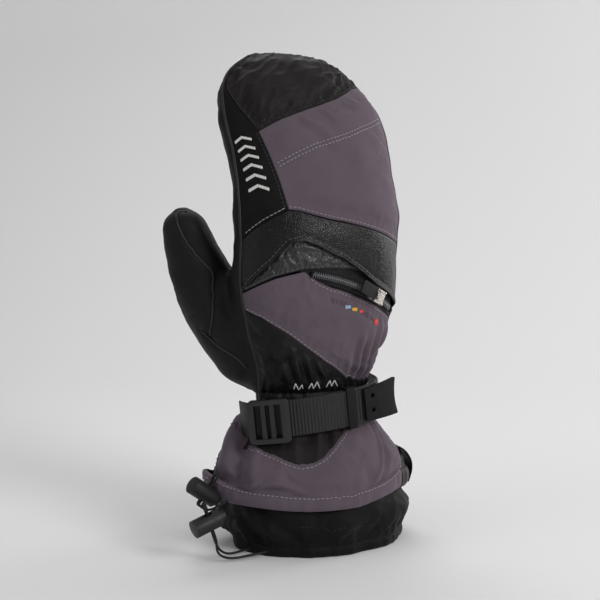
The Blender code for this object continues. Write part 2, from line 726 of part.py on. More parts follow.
HEM_EXIT, GAITER_EXIT = 168.0, 150.0    # angles where the drawcords leave their hems
add_piece("wrist_elastic", ring_solid(ELASTIC, ELASTIC[0][0], ELASTIC[-1][0], 0, ELASTIC_WALL, 2),
          NYLON)
add_piece("gauntlet_back_shell", shell(back_shell_grid, 0, CUFF_WALL), SOFTSHELL)
add_piece("gauntlet_inset_panel", shell(inset_grid, .1, 1.3), NYLON)
add_piece("gauntlet_palm_panel", shell(palm_gauntlet_grid, 0, CUFF_WALL), NYLON)
add_piece("gauntlet_lining", ring_solid(GAUNTLET, 48, 90.5, 2.3, 3.1, 4), LINING_CLOTH)
add_piece("gauntlet_hem", channel(GAUNTLET, HEM_LOW, HEM_HIGH, 1.2, 5.0, HEM_EXIT), SOFTSHELL)
add_piece("snow_gaiter", ring_solid(GAITER, GAITER_HEM_HIGH + HEM_GAP, GAITER_TOP, 0, 1.0, 6),
          NYLON)
add_piece("gaiter_hem", channel(GAITER, 0.0, GAITER_HEM_HIGH, .9, 4.6, GAITER_EXIT), NYLON)
add_piece("pull_on_loop", pull_on_loop(), NYLON)

# ---- wrist strap on its circular track ----
STRAP_CENTRE = (3.4, 59.0, 96.33)
STRAP_TILT = math.radians(6.0)
FEED_R, TAIL_R = 95.5, 97.5     # mid radii of the band and of the tail lying over it
WEBBING_THICK = 1.4
HALF_WIDTH = 25.0 / 2
BAND_INNER = FEED_R - WEBBING_THICK / 2
TAIL_INNER, TAIL_OUTER = TAIL_R - WEBBING_THICK / 2, TAIL_R + WEBBING_THICK / 2
BUCKLE_LOW, BUCKLE_HIGH = TAIL_OUTER + .5, TAIL_OUTER + 4.3
SLOT = 2.6                      # width of a buckle bar and side of a tab hole
STRAP_FRAME = frame_matrix((math.cos(STRAP_TILT), 0, math.sin(STRAP_TILT)), (0, 1, 0),
                           (-math.sin(STRAP_TILT), 0, math.cos(STRAP_TILT)), STRAP_CENTRE)
# mitten (x, y) of the band's turned-back end, and of the webbing holding the buckle
BAND_END = [(37.0, -29.6), (41.8, -24.2), (44.8, -17), (46.4, -9), (46.8, 0)]
ANCHOR = [(-53.6, -7.5), (-53.6, -11.5), (-52.9, -15.5), (-51.7, -18.8), (-50.0, -21.3)]


def track(x, radius, height):
    """Point on the strap track: x along it at the tail, height across the width."""
    a = math.asin(x / TAIL_R)
    return STRAP_FRAME @ Vector((radius * math.sin(a), -radius * math.cos(a), height))


def track_block(x0, x1, r0, r1, h0, h1, steps, flare=0.0):
    """Curved block; flare widens each edge by the far end."""
    rings = []
    for x in spread(x0, x1, steps):
        f = (x - x0) / (x1 - x0) * flare
        rings.append([track(x, r0, h0 - f), track(x, r1, h0 - f),
                      track(x, r1, h1 + f), track(x, r0, h1 + f)])
    return loft(rings)


def strap_path(points):
    return [Vector((x - STRAP_CENTRE[0], y - STRAP_CENTRE[1], 0)) for x, y in points]


def webbing(path, thickness):
    band = ribbon(path, Vector((0, 0, 1)), -HALF_WIDTH, HALF_WIDTH, thickness)
    return moved(band, STRAP_FRAME)


def ladder_lock_buckle():
    """Frame with two cross bars."""
    frame = track_block(-56.5, -33, BUCKLE_LOW, BUCKLE_HIGH, -14.8, 14.8, 8)
    window = track_block(-53.2, -38.2, BUCKLE_LOW - 3, BUCKLE_HIGH + 3, -11.4, 11.4, 6)
    solid = combine(frame, window, "DIFFERENCE")
    for x in (-49.6, -44.6):
        bar = track_block(x, x + SLOT, BUCKLE_LOW + .8, BUCKLE_HIGH - .8, -12.0, 12.0, 2)
        solid = combine(solid, bar, "UNION")
    return solid


def strap_keeper():
    """Rectangular loop round the band and the tail."""
    outer = track_block(6.5, 13.0, BAND_INNER - 1.5, TAIL_OUTER + 1.5,
                        -HALF_WIDTH - 1.6, HALF_WIDTH + 1.6, 3)
    inner = track_block(5, 15, BAND_INNER - .5, TAIL_OUTER + .5,
                        -HALF_WIDTH - .5, HALF_WIDTH + .5, 4)
    return combine(outer, inner, "DIFFERENCE")


def strap_pull_tab():
    """Flared tab with two square holes."""
    tab = track_block(19.5, 48.5, TAIL_OUTER + .4, TAIL_OUTER + 2.9, -11.2, 11.2, 8, flare=1.6)
    for h in (-4.5, 5.5):
        hole = track_block(24.5, 24.5 + SLOT, TAIL_R - 2, TAIL_R + 6,
                           h - SLOT / 2, h + SLOT / 2, 1)
        tab = combine(tab, hole, "DIFFERENCE")
    return tab


band_path = [Vector((FEED_R * math.sin(math.radians(a)), -FEED_R * math.cos(math.radians(a)), 0))
             for a in spread(-28.5, 16.0, 12)] + strap_path(BAND_END)
add_piece("wrist_strap_band", webbing(band_path, WEBBING_THICK), NYLON)
add_piece("buckle_anchor_webbing", webbing(strap_path(ANCHOR), WEBBING_THICK * .8), NYLON)
add_piece("wrist_strap_tail",
          track_block(-43, 27, TAIL_INNER, TAIL_OUTER, -HALF_WIDTH, HALF_WIDTH, 14),
          NYLON, STRAP_CENTRE)
add_piece("ladder_lock_buckle", ladder_lock_buckle(), BUCKLE_BLACK)
add_piece("strap_keeper", strap_keeper(), KEEPER_BLACK, STRAP_CENTRE)
add_piece("strap_pull_tab", strap_pull_tab(), TAB_BLACK, track(20.0, TAIL_OUTER + 1.6, 0))


# ---- cord locks ----
def lock_frame(centre, axis, cord_direction):
    """Lock frame: z along the barrel, x along the cord through it."""
    z = Vector(axis).normalized()
    x = (Vector(cord_direction) - z * Vector(cord_direction).dot(z)).normalized()
    return frame_matrix(x, z.cross(x), z, Vector(centre))


HEM_LOCK = lock_frame((-81.0, -11.0, 43.0), (-.80, -.12, .58), (.55, 0, .80))
GAITER_LOCK = lock_frame((-84.0, -26.0, 27.5), (-.94, -.10, -.30), (-.30, 0, .95))


def lock_barrel():
    """Cup with a cross hole for the cord."""
    cup = combine(cylinder(6.0, -8, 12, 20), cylinder(4.3, -9, 10, 14), "DIFFERENCE")
    hole = moved(cylinder(3.1, -9, 9, 10), Matrix.Rotation(math.radians(90), 4, "Y"))
    return combine(cup, hole, "DIFFERENCE")


def lock_plunger():
    """Pin with a slot for the cord."""
    slot = box((0, 0, -1.5), (12, 5.1, 5.8))
    return combine(cylinder(3.9, -11.5, 3.0, 14), slot, "DIFFERENCE")


def lock_spring():
    """Helix of 3.5 turns, eight points to a turn."""
    turns = [2 * math.pi * k / 8 for k in range(29)]
    helix = [Vector((2.7 * math.cos(a), 2.7 * math.sin(a), 3.9 + 5.2 * k / 28))
             for k, a in enumerate(turns)]
    return tube(helix, .45, 5)


for label, frame in (("hem", HEM_LOCK), ("gaiter", GAITER_LOCK)):
    for part, build, look in (("barrel", lock_barrel, BARREL_BLACK),
                              ("plunger", lock_plunger, PLUNGER_BLACK),
                              ("spring", lock_spring, SPRING_METAL)):
        add_piece(f"{label}_lock_{part}", moved(build(), frame), look, frame.translation)

# ---- drawcords ----
CORD_RADIUS = 0.95
STRAND_OFFSET = 1.25        # each strand from the middle of the lock


def drawcord(name, table, z, depth, exit_angle, frame, reach, shoulder, crest, tail_a, tail_b):
    """Cord round a hem, out through the lock and back.

    reach is how far the strands run straight before the lock; shoulder and crest
    are the lock-frame x of the loop beyond it; the tails join hem and lock.
    """
    side_a = [ring_point(table, z, angle, depth) for angle in spread(264, exit_angle + 9, 12)]
    side_b = [ring_point(table, z, angle, depth) for angle in spread(exit_angle - 9, -93, 32)]
    stops = (-reach, -reach / 2, 0, 5, 8)
    in_lock = [(x, STRAND_OFFSET, 0) for x in stops]
    in_lock += [(shoulder, 2.6, 0), (crest, 0, 0), (shoulder, -2.6, 0)]
    in_lock += [(x, -STRAND_OFFSET, 0) for x in reversed(stops)]
    loop = side_a[-1:] + [Vector(p) for p in tail_a] + [frame @ Vector(p) for p in in_lock]
    loop += [Vector(p) for p in tail_b] + side_b[:1]
    path = side_a[:-1] + smooth_path(loop, 2) + side_b[1:]
    add_piece(name, tube(path, CORD_RADIUS, 6), CORD_BLACK)


drawcord("hem_drawcord", GAUNTLET, (HEM_LOW + HEM_HIGH) / 2, 2.9, HEM_EXIT, HEM_LOCK,
         reach=9.0, shoulder=12, crest=15,
         tail_a=[(-74.0, -3.3, 36.0), (-80.8, -5.2, 32.8)],
         tail_b=[(-80.8, -16.8, 32.8), (-74.0, -18.8, 36.0)])
drawcord("gaiter_drawcord", GAITER, GAITER_HEM_HIGH / 2, 2.8, GAITER_EXIT, GAITER_LOCK,
         reach=14.0, shoulder=11.5, crest=14,
         tail_a=[(-60.0, -21.8, 3.8), (-70.0, -23.4, 3.6), (-76.5, -24.3, 7.6)],
         tail_b=[(-79.4, -28.6, 6.8), (-72.0, -30.4, 2.6), (-58.0, -31.2, 3.2)])
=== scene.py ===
"""Winter mitten with a gauntlet cuff and a snow gaiter, standing on its opening.

+Z runs up to the fingertips. The back of the hand faces -Y, the palm +Y, the thumb -X and
the little finger +X. Lengths are in mm and angles in degrees, except where Blender needs
metres. Angles around a form start at +X and pass the back (90), thumb side (180), palm (270).
"""

import json
import math
from contextlib import contextmanager

import bmesh
import bpy
import numpy as np
from mathutils import Matrix, Vector
from mathutils.bvhtree import BVHTree
from mathutils.kdtree import KDTree

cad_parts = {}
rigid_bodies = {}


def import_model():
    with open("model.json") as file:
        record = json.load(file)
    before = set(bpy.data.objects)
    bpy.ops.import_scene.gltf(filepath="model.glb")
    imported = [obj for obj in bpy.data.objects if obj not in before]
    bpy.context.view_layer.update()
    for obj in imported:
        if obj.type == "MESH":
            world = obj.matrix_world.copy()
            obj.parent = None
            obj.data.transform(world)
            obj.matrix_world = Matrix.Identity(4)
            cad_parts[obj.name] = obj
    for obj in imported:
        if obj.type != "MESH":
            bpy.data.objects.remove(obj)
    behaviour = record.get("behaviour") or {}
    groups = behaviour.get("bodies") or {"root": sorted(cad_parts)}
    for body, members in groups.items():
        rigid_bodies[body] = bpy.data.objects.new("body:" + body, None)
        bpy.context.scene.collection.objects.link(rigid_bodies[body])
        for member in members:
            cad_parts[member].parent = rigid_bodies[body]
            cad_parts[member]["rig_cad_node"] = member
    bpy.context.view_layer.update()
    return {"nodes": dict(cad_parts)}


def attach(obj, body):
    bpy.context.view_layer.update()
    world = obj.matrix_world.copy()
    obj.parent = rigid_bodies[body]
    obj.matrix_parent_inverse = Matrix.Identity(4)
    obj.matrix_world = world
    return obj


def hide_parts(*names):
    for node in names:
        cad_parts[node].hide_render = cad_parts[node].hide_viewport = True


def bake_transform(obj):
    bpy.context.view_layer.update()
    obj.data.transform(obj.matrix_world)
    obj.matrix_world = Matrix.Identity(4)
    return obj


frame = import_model()
MM = 0.001
SIM_SCALE = 10.0        # cloth is simulated at ten times life size, which suits the solver
# forms are laid out from the cuff's centre; the shared origin is the middle of the outline
FORM_CENTRE = Vector((.011045, 0, 0))


# ------------------------------------------------------------------ forms of the mitten
def profile(pairs):
    """Function that interpolates linearly through (input, output) pairs."""
    inputs, outputs = np.array(pairs, float).T
    return lambda x: np.interp(x, inputs, outputs)


def constant(value):
    return lambda x: np.full(np.shape(x), float(value))


SQUARE = 2.25           # exponent of the hand's section: 2 is an ellipse, more is squarer
# z, centre x, centre y, half width, depth to the back, depth to the palm, tilt
HAND = np.array([
    (104, 0, 0, 41, 26.5, 26.5, 0), (110, 0, 0, 42, 27, 27, 0),
    (126, 0, -1, 45.5, 30.5, 31, 0), (148, 1, -2, 53, 34, 33, 0),
    (170, 1.5, -3.5, 58.5, 36, 32, 0), (195, 1.5, -4.5, 61, 36, 30, 0),
    (221, 2.5, -4, 61, 35, 28.5, 4), (245, 1.5, -1.5, 60.5, 32.5, 27, 10),
    (266, -.5, 3.5, 60, 29.5, 25.5, 17), (285, -3.5, 10, 58.5, 26, 23.5, 23),
    (301, -6.5, 17, 54, 22.5, 20.5, 28), (314, -9, 24, 46, 18, 17, 32),
    (323, -10.5, 29, 34, 13, 13, 35), (328.5, -11.5, 32.5, 20, 8, 8, 37),
    (330.5, -12, 34, .8, .8, .8, 38)])
# x, y, z, radius
THUMB = np.array([
    (-16, 10, 116, 19), (-28, 15, 127, 24), (-40, 21, 141, 26), (-50.5, 27, 156, 25),
    (-59.5, 31, 171, 23), (-67, 33, 186, 20.5), (-73, 34, 200, 18), (-77.5, 34, 212, 16),
    (-80.3, 34, 221.5, 12.8), (-81.5, 34, 230, .8)])
# z, centre x, centre y, half width, half depth
GAUNTLET = np.array([
    (28, -1.5, 0, 71, 54), (34, -1.5, 0, 71, 54), (46, -.5, 0, 70, 52.5), (60, 0, 0, 65, 48),
    (72, 0, 0, 57, 42), (84, 0, 0, 47.5, 33), (92, 0, 0, 42, 27.5), (98, 0, 0, 40, 26)])
GAITER = np.array([
    (-6, 6, 0, 58, 45), (0, 6, 0, 60, 47), (10, 6.5, 0, 62.5, 48.5), (25, 6, 0, 63.5, 49),
    (34, 2.5, 0, 59.5, 46), (45, 1, 0, 56, 43), (55, 0, 0, 52, 40), (62, 0, 0, 50, 38)])

# Seams of the hand: (angle, station). Station -1 is the first row of HAND.
LITTLE_SIDE, THUMB_SIDE = 16.4, 163.6
CAP_SEAM = profile([
    (18, 9.3), (30, 9.2), (48, 8.97), (70, 8.45), (97.5, 7.92), (132, 7.42), (140, 7.3),
    (162, 7.1)])
KNUCKLE_SEAM = profile([
    (18, 4.35), (42, 4.53), (69, 4.78), (94.5, 5.03), (112, 5.24), (120, 5.28), (126, 5.2),
    (141, 4.98), (157.5, 4.68), (162, 4.6)])
FLAP_SEAM = profile([
    (18, 2.55), (27, 2.74), (45, 3.05), (63, 3.39), (75, 3.74), (88.5, 4.13), (100, 4.4),
    (110, 4.54), (120, 4.5), (133.5, 4.03), (153, 3.49), (162, 3.34)])
WEDGE_SEAM = profile([
    (60, 3.6), (72, 3.73), (82, 3.84), (95, 3.87), (109.5, 3.86), (130.5, 3.69),
    (153, 3.38), (162, 3.28)])
POCKET_SEAM = profile([
    (18, 2.05), (27, 2.2), (36, 2.36), (46, 2.53), (56, 2.72), (65, 2.89), (73, 3.03),
    (81, 3.17), (87, 3.28), (93, 3.39), (100, 3.55), (109.5, 3.82), (130.5, 3.65),
    (162, 3.24)])
WRIST_SEAM = profile([
    (18, 0.2), (58, 0.22), (73.5, .45), (97.5, 1.29), (121.5, 1.99), (144, 2.54),
    (162, 2.74)])
FINGER_ROW = profile([(30, 7.92), (42, 7.72), (90, 6.97), (121.5, 6.47), (126, 6.40)])
# (station, angle)
STRIP_EDGE = profile([
    (4.6, 120.5), (5.28, 120), (5.53, 121.5), (6.28, 126), (7.42, 132), (8.5, 147),
    (9.3, 157), (9.71, 158), (9.95, THUMB_SIDE)])

# Seams of the gauntlet
# (z, angle)
SIDE_SEAM = profile([(32, 50), (38, 44), (46, 37), (55, 28), (62, 20), (78, 12), (92, 8)])
# (angle, z)
INSET_EDGE = profile([
    (72, 88), (76, 83.5), (80, 80), (86, 77), (92, 72.5), (99, 67.5), (106, 64.2),
    (114, 63.2), (124, 66), (133, 69.4), (146, 72), (158, 74.5)])
HEM_TOP = profile([
    (20, 50.5), (44, 50.5), (60, 46), (85, 42.3), (109, 42.8), (132, 45.2), (151, 46.3),
    (181, 49.3), (200, 49), (230, 46), (300, 46), (360, 48), (404, 50.5)])
HEM_LOW = profile([
    (20, 38), (44, 38), (79, 33.3), (108, 33.6), (150, 36.5), (185, 37.8), (205, 36),
    (230, 33.5), (300, 33.2), (360, 34), (404, 38)])


def unit(vectors, guard=0.0):
    return vectors / (np.linalg.norm(vectors, axis=-1, keepdims=True) + guard)


def spline(rows, position):
    """Catmull-Rom curve through the rows of a table."""
    last = len(rows) - 1
    position = np.clip(position, 0, last - 1e-9)
    row = np.floor(position).astype(int)
    f = (position - row)[..., None]
    p0, p1, p2, p3 = (rows[np.clip(row + k, 0, last)] for k in (-1, 0, 1, 2))
    return 0.5 * ((2 * p1) + (-p0 + p2) * f + (2 * p0 - 5 * p1 + 4 * p2 - p3) * f * f
                  + (-p0 + 3 * p1 - 3 * p2 + p3) * f ** 3)


def hand(station, angle, inset=0.0):
    """Point on the hand form, or inside it by an inset."""
    station, angle = np.broadcast_arrays(np.asarray(station, float), np.asarray(angle, float))
    columns = np.moveaxis(spline(HAND, station + 1), -1, 0)
    z, mid_x, mid_y, half, back, palm_depth, tilt = columns
    cos, sin = np.cos(np.radians(angle)), np.sin(np.radians(angle))
    depth = np.where(sin >= 0, back, palm_depth)
    x = np.sign(cos) * np.abs(cos) ** (2 / SQUARE) * np.maximum(half - inset, .2)
    y = -np.sign(sin) * np.abs(sin) ** (2 / SQUARE) * np.maximum(depth - inset, .2)
    lean = np.radians(tilt)
    return np.stack([mid_x + x, mid_y + y * np.cos(lean), z - y * np.sin(lean)], -1)


def hand_normal(station, angle):
    up = hand(station + .02, angle) - hand(station - .02, angle)
    around = hand(station, angle + .5) - hand(station, angle - .5)
    normal = unit(np.cross(around, up), 1e-12)
    middle = spline(HAND, np.asarray(station, float) + 1)[..., 1:3]
    outward = hand(station, angle)[..., :2] - middle
    return normal * np.sign((normal[..., :2] * outward).sum(-1, keepdims=True) + 1e-9)


def cuff(form, z, angle, inset=0.0):
    """Point on the gauntlet or gaiter form."""
    z, angle = np.broadcast_arrays(np.asarray(z, float), np.asarray(angle, float))
    row = np.clip(np.searchsorted(form[:, 0], z, side="right") - 1, 0, len(form) - 2)
    f = (z - form[row, 0]) / (form[row + 1, 0] - form[row, 0])
    _, mid_x, mid_y, half, depth = np.moveaxis(spline(form, row + f), -1, 0)
    cos, sin = np.cos(np.radians(angle)), np.sin(np.radians(angle))
    return np.stack([mid_x + (half - inset) * cos, mid_y - (depth - inset) * sin, z], -1)


def cuff_normal(form, z, angle):
    around = cuff(form, z, angle + .5) - cuff(form, z, angle - .5)
    up = cuff(form, z + .3, angle) - cuff(form, z - .3, angle)
    normal = unit(np.cross(up, around))
    outward = cuff(form, z, angle)[..., :2]
    return normal * np.sign((normal[..., :2] * outward).sum(-1, keepdims=True))


def on_gauntlet(z, angle):
    return cuff(GAUNTLET, z, angle)


def on_gaiter(z, angle):
    return cuff(GAITER, z, angle)


# ------------------------------------------------------------------ falloffs, noise and folds
def bell(x, width, power=2):
    return np.exp(-(x / width) ** power)


def decay(x, width):
    return np.exp(-x / width)


def rise(x, width):
    return 1 - decay(x, width)


def ripple(x, length, shift=0.0):
    return np.sin(2 * np.pi * x / length + shift)


class Waves:
    """Smooth random field over points: a sum of sine waves, the same on every run."""
    COUNT = 28

    def __init__(self, seed, scale, stretch=(1, 1, 1)):
        rng = np.random.default_rng(seed)
        heading = rng.normal(size=(self.COUNT, 3))
        heading /= np.linalg.norm(heading, axis=1, keepdims=True)
        self.vectors = (heading * (2 * np.pi / scale) * rng.uniform(.6, 1.7, (self.COUNT, 1))
                        / np.array(stretch))
        self.phases = rng.uniform(0, 2 * np.pi, self.COUNT)

    def __call__(self, points):
        total = np.zeros(points.shape[:-1])
        for vector, phase in zip(self.vectors, self.phases):
            total += np.sin(points @ vector + phase)
        return total / math.sqrt(self.COUNT / 2)


def ridged(values):
    """Turns a smooth field into crisp folds with soft troughs."""
    return 1 - 2 * np.abs(np.tanh(values * 1.1))


BODY_SOFT = Waves(11, 75)
BODY_MID = Waves(12, 26)
CUFF_SOFT = Waves(51, 60)
CUFF_MID = Waves(52, 22)


def hand_unevenness(points):
    """Shared by all panels of the hand, so that seams stay closed; calm near the pocket zip."""
    middle, reach = np.array([12, -36, 178]), np.array([45, 40, 26])
    calm = 1 - bell(np.linalg.norm((points - middle) / reach, axis=-1), 1, 4)
    side = np.clip((points[..., 0] - 34) / 20, 0, 1) ** 1.5 * bell(points[..., 2] - 224, 44, 4)
    return (.55 * BODY_SOFT(points) + .28 * BODY_MID(points)) * (.15 + .85 * calm) - 2.6 * side


def cuff_unevenness(points):
    return .8 * CUFF_SOFT(points) + .35 * CUFF_MID(points)


def nearest_on(points, line):
    """Distance of each point to a polyline, and how far along it the nearest place is (0..1)."""
    line = np.array(line, float)
    lengths = np.linalg.norm(np.diff(line, axis=0), axis=1)
    starts = np.concatenate([[0], np.cumsum(lengths)])
    best, where = np.full(points.shape[:-1], 1e6), np.zeros(points.shape[:-1])
    for a, b, start, length in zip(line[:-1], line[1:], starts, lengths):
        share = np.clip(((points - a) @ (b - a)) / length ** 2, 0, 1)
        away = np.linalg.norm(points - (a + share[..., None] * (b - a)), axis=-1)
        hit = away < best
        best, where = np.where(hit, away, best), np.where(hit, start + share * length, where)
    return best, where / starts[-1]


def fold(points, line, width, height):
    """Raised (or sunk, if negative) fold along a line, tapering at both ends."""
    away, share = nearest_on(points, line)
    taper = np.sin(np.pi * np.clip(share * .94 + .03, 0, 1)) ** .6
    return height * taper * bell(away, width)


def folds(points, place, rows):
    """Sum of straight folds; rows are (start, end, width, height), ends go through place."""
    return sum(fold(points, [place(*start), place(*end)], width, height)
               for start, end, width, height in rows)


# ------------------------------------------------------------------ mesh helpers
@contextmanager
def editing(mesh):
    bm = bmesh.new()
    bm.from_mesh(mesh)
    yield bm
    bm.to_mesh(mesh)
    bm.free()


def add_object(name, mesh):
    obj = bpy.data.objects.new(name, mesh)
    bpy.context.scene.collection.objects.link(obj)
    return obj


def mesh_object(name, verts, faces, material=None, uv=None):
    mesh = bpy.data.meshes.new(name)
    mesh.from_pydata([tuple(v) for v in np.asarray(verts) * MM], [], [tuple(f) for f in faces])
    mesh.update()
    if uv is not None:
        layer = mesh.uv_layers.new(name="UVMap")
        index = np.zeros(len(mesh.loops), int)
        mesh.loops.foreach_get("vertex_index", index)
        layer.data.foreach_set("uv", np.asarray(uv, np.float32)[index].ravel())
    obj = add_object(name, mesh)
    if material is not None:
        mesh.materials.append(material)
    mesh.shade_smooth()
    return obj


def add_modifier(obj, name, kind, **settings):
    modifier = obj.modifiers.new(name, kind)
    for key, value in settings.items():
        setattr(modifier, key, value)


def apply_modifiers(obj):
    depsgraph = bpy.context.evaluated_depsgraph_get()
    mesh = bpy.data.meshes.new_from_object(obj.evaluated_get(depsgraph), depsgraph=depsgraph)
    old = obj.data
    obj.modifiers.clear()
    obj.data = mesh
    bpy.data.meshes.remove(old)


def thicken(obj, thick, offset=-1):
    add_modifier(obj, "thickness", "SOLIDIFY", thickness=thick * MM, offset=offset,
                 use_even_offset=False)
    apply_modifiers(obj)


def tidy(obj):
    """Merges the slivers that cutting leaves."""
    with editing(obj.data) as bm:
        bmesh.ops.remove_doubles(bm, verts=bm.verts, dist=.02 * MM)
        bmesh.ops.dissolve_degenerate(bm, edges=bm.edges, dist=.005 * MM)
        loose = [v for v in bm.verts if not v.link_faces]
        bmesh.ops.delete(bm, geom=loose, context="VERTS")


def get_vectors(obj, key="co"):
    values = np.zeros(len(obj.data.vertices) * 3)
    obj.data.vertices.foreach_get(key, values)
    return values.reshape(-1, 3)


def set_coords(obj, points):
    obj.data.vertices.foreach_set("co", (points * MM).astype(np.float32).ravel())
    obj.data.update()


def clip(rows, faces, field):
    """Keeps the part of a mesh where field is positive, cutting faces along field = 0.

    Each row is a vertex: x, y, z and any further values to carry along.
    """
    out_rows, out_faces, kept, cuts = [], [], {}, {}

    def keep(i):
        if i not in kept:
            kept[i] = len(out_rows)
            out_rows.append(rows[i])
        return kept[i]

    def cut(i, j):
        a, b = key = (i, j) if i < j else (j, i)
        if key not in cuts:
            share = field[a] / (field[a] - field[b])
            cuts[key] = len(out_rows)
            out_rows.append(rows[a] + (rows[b] - rows[a]) * share)
        return cuts[key]

    for face in faces:
        polygon = []
        for k, i in enumerate(face):
            j = face[(k + 1) % len(face)]
            if field[i] > 0:
                polygon.append(keep(i))
            if (field[i] > 0) != (field[j] > 0):
                polygon.append(cut(i, j))
        if len(polygon) >= 3:
            out_faces.append(polygon)
    return np.array(out_rows), out_faces


def along(points, axis):
    """Distance travelled along a grid axis."""
    steps = np.linalg.norm(np.diff(points, axis=axis), axis=-1)
    zero = np.zeros_like(np.take(steps, [0], axis=axis))
    return np.concatenate([zero, np.cumsum(steps, axis=axis)], axis=axis)


def travelled(path):
    return np.concatenate([[0], np.cumsum(np.linalg.norm(np.diff(path, axis=0), axis=1))])


def resample(points, step):
    """Even points along an open path."""
    path = np.array(points, float)
    distance = travelled(path)
    count = max(2, int(round(distance[-1] / step)) + 1)
    even = np.linspace(0, distance[-1], count)
    return np.stack([np.interp(even, distance, path[:, k]) for k in range(3)], -1)


def smooth_line(points, times=3):
    """Corner-cutting smoothing of an open path that keeps its ends."""
    path = np.array(points, float)
    for _ in range(times):
        finer = np.empty((2 * len(path), 3))
        finer[0], finer[-1] = path[0], path[-1]
        finer[1:-1:2] = path[:-1] * .75 + path[1:] * .25
        finer[2::2] = path[:-1] * .25 + path[1:] * .75
        path = finer
    return path


def grid_quads(shape, wrap=False):
    rows, columns = shape[:2]
    index = np.arange(rows * columns).reshape(rows, columns)
    if wrap:
        index = np.concatenate([index, index[:, :1]], 1)
    corners = [index[:-1, :-1], index[:-1, 1:], index[1:, 1:], index[1:, :-1]]
    return np.stack(corners, -1).reshape(-1, 4)


def facing_quads(points, normals, wrap=False):
    """Faces of a grid, turned to face along its normals."""
    quads = grid_quads(points.shape, wrap)
    quad = quads[len(quads) // 2]
    a, b, c = points.reshape(-1, 3)[quad[:3]]
    if np.cross(b - a, c - b) @ normals.reshape(-1, 3)[quad[0]] < 0:
        quads = quads[:, ::-1]
    return quads


def grid_mesh(name, points, material=None, wrap=False, caps=False):
    """Grid of points (rows, columns, 3) as a mesh, with UVs in mm / 100."""
    faces = [list(quad) for quad in grid_quads(points.shape, wrap)]
    if caps:
        rows, columns = points.shape[:2]
        faces.append(list(range(columns))[::-1])
        faces.append(list(range((rows - 1) * columns, rows * columns)))
    uv = np.stack([along(points, 1).ravel(), along(points, 0).ravel()], -1) * .01
    obj = mesh_object(name, points.reshape(-1, 3), faces, material, uv)
    with editing(obj.data) as bm:
        bmesh.ops.recalc_face_normals(bm, faces=bm.faces)
    return obj


def tube_mesh(name, path, radius, sides, material):
    """Round cord along a path, its section carried along without twist."""
    tangents = unit(np.gradient(path, axis=0), 1e-12)
    first = np.cross(tangents[0], [0, 0, 1.0])
    if np.linalg.norm(first) < .1:
        first = np.cross(tangents[0], [1.0, 0, 0])
    normals = [unit(first)]
    for tangent in tangents[1:]:
        normals.append(unit(normals[-1] - tangent * (normals[-1] @ tangent)))
    normals = np.array(normals)
    sideways = np.cross(tangents, normals)
    turn = (np.arange(sides) * 2 * np.pi / sides)[None, :, None]
    section = np.cos(turn) * normals[:, None, :] + np.sin(turn) * sideways[:, None, :]
    points = path[:, None, :] + radius * section
    return grid_mesh(name, points, material, wrap=True, caps=True)


def ribbon(name, path, normals, across, half, thick, material, rib, rows=64):
    """Webbing: a flat band of half width half, with ribs of height rib and round edges."""
    pitch, rib_width, edge = 2.3, 1.45, .6
    distance = travelled(path)
    across = np.broadcast_to(across, path.shape)
    share = np.linspace(-1, 1, rows)
    alternate = np.where(np.floor(distance / pitch + .5) % 2 > 0, 1, -1)[:, None]
    weave = .5 + .5 * np.sin(share * half * 2 * np.pi / rib_width)[None, :] * alternate
    relief = (rib * (.5 + .5 * np.cos(2 * np.pi * distance / pitch))[:, None] ** .8
              * (.45 + .55 * weave) * np.clip((1 - np.abs(share)) * half / edge, 0, 1)[None, :])
    rounding = 1 - np.clip((np.abs(share) * half - (half - edge)) / edge, 0, 1) ** 2
    body = thick / 2 * np.sqrt(np.clip(rounding, .02, 1))[None, :]
    middle = path[:, None, :] + across[:, None, :] * (share * half)[None, :, None]
    lift = normals[:, None, :] * (body + relief)[..., None]
    points = np.concatenate([middle + lift, (middle - lift)[:, ::-1]], 1)
    return grid_mesh(name, points, material, wrap=True, caps=True)


def capsules(name, ends, radius, material):
    """Many short threads in one mesh; ends is (count, 2, 3)."""
    sides = 6
    rings = [(0, .35), (.12, .85), (.5, 1.0), (.88, .85), (1.0, .35)]  # place, share of radius
    ends = np.asarray(ends, float).reshape(-1, 2, 3)
    # both ends of a stitch can snap to one point
    ends = ends[np.linalg.norm(ends[:, 1] - ends[:, 0], axis=1) > .05]
    start, run = ends[:, 0], ends[:, 1] - ends[:, 0]
    heading = unit(run)
    other = np.where(np.abs(heading[:, 2:]) < .8, [[0, 0, 1.0]], [[1.0, 0, 0]])
    first = unit(np.cross(heading, other))
    second = np.cross(heading, first)
    turn = (np.arange(sides) * 2 * np.pi / sides)[None, :, None]
    section = np.cos(turn) * first[:, None, :] + np.sin(turn) * second[:, None, :]
    verts = np.stack([(start + run * place)[:, None, :] + radius * share * section
                      for place, share in rings], 1)
    base = np.arange(len(ends))[:, None, None] * len(rings) * sides
    ring = base + np.arange(len(rings) - 1)[None, :, None] * sides
    side = np.arange(sides)[None, None, :]
    after = (side + 1) % sides
    corners = [ring + side, ring + after, ring + sides + after, ring + sides + side]
    faces = [list(quad) for quad in np.stack(corners, -1).reshape(-1, 4)]
    for i in range(len(ends)):
        low = i * len(rings) * sides
        high = low + (len(rings) - 1) * sides
        faces.append([low + sides - 1 - j for j in range(sides)])
        faces.append([high + j for j in range(sides)])
    return mesh_object(name, verts.reshape(-1, 3), faces, material)


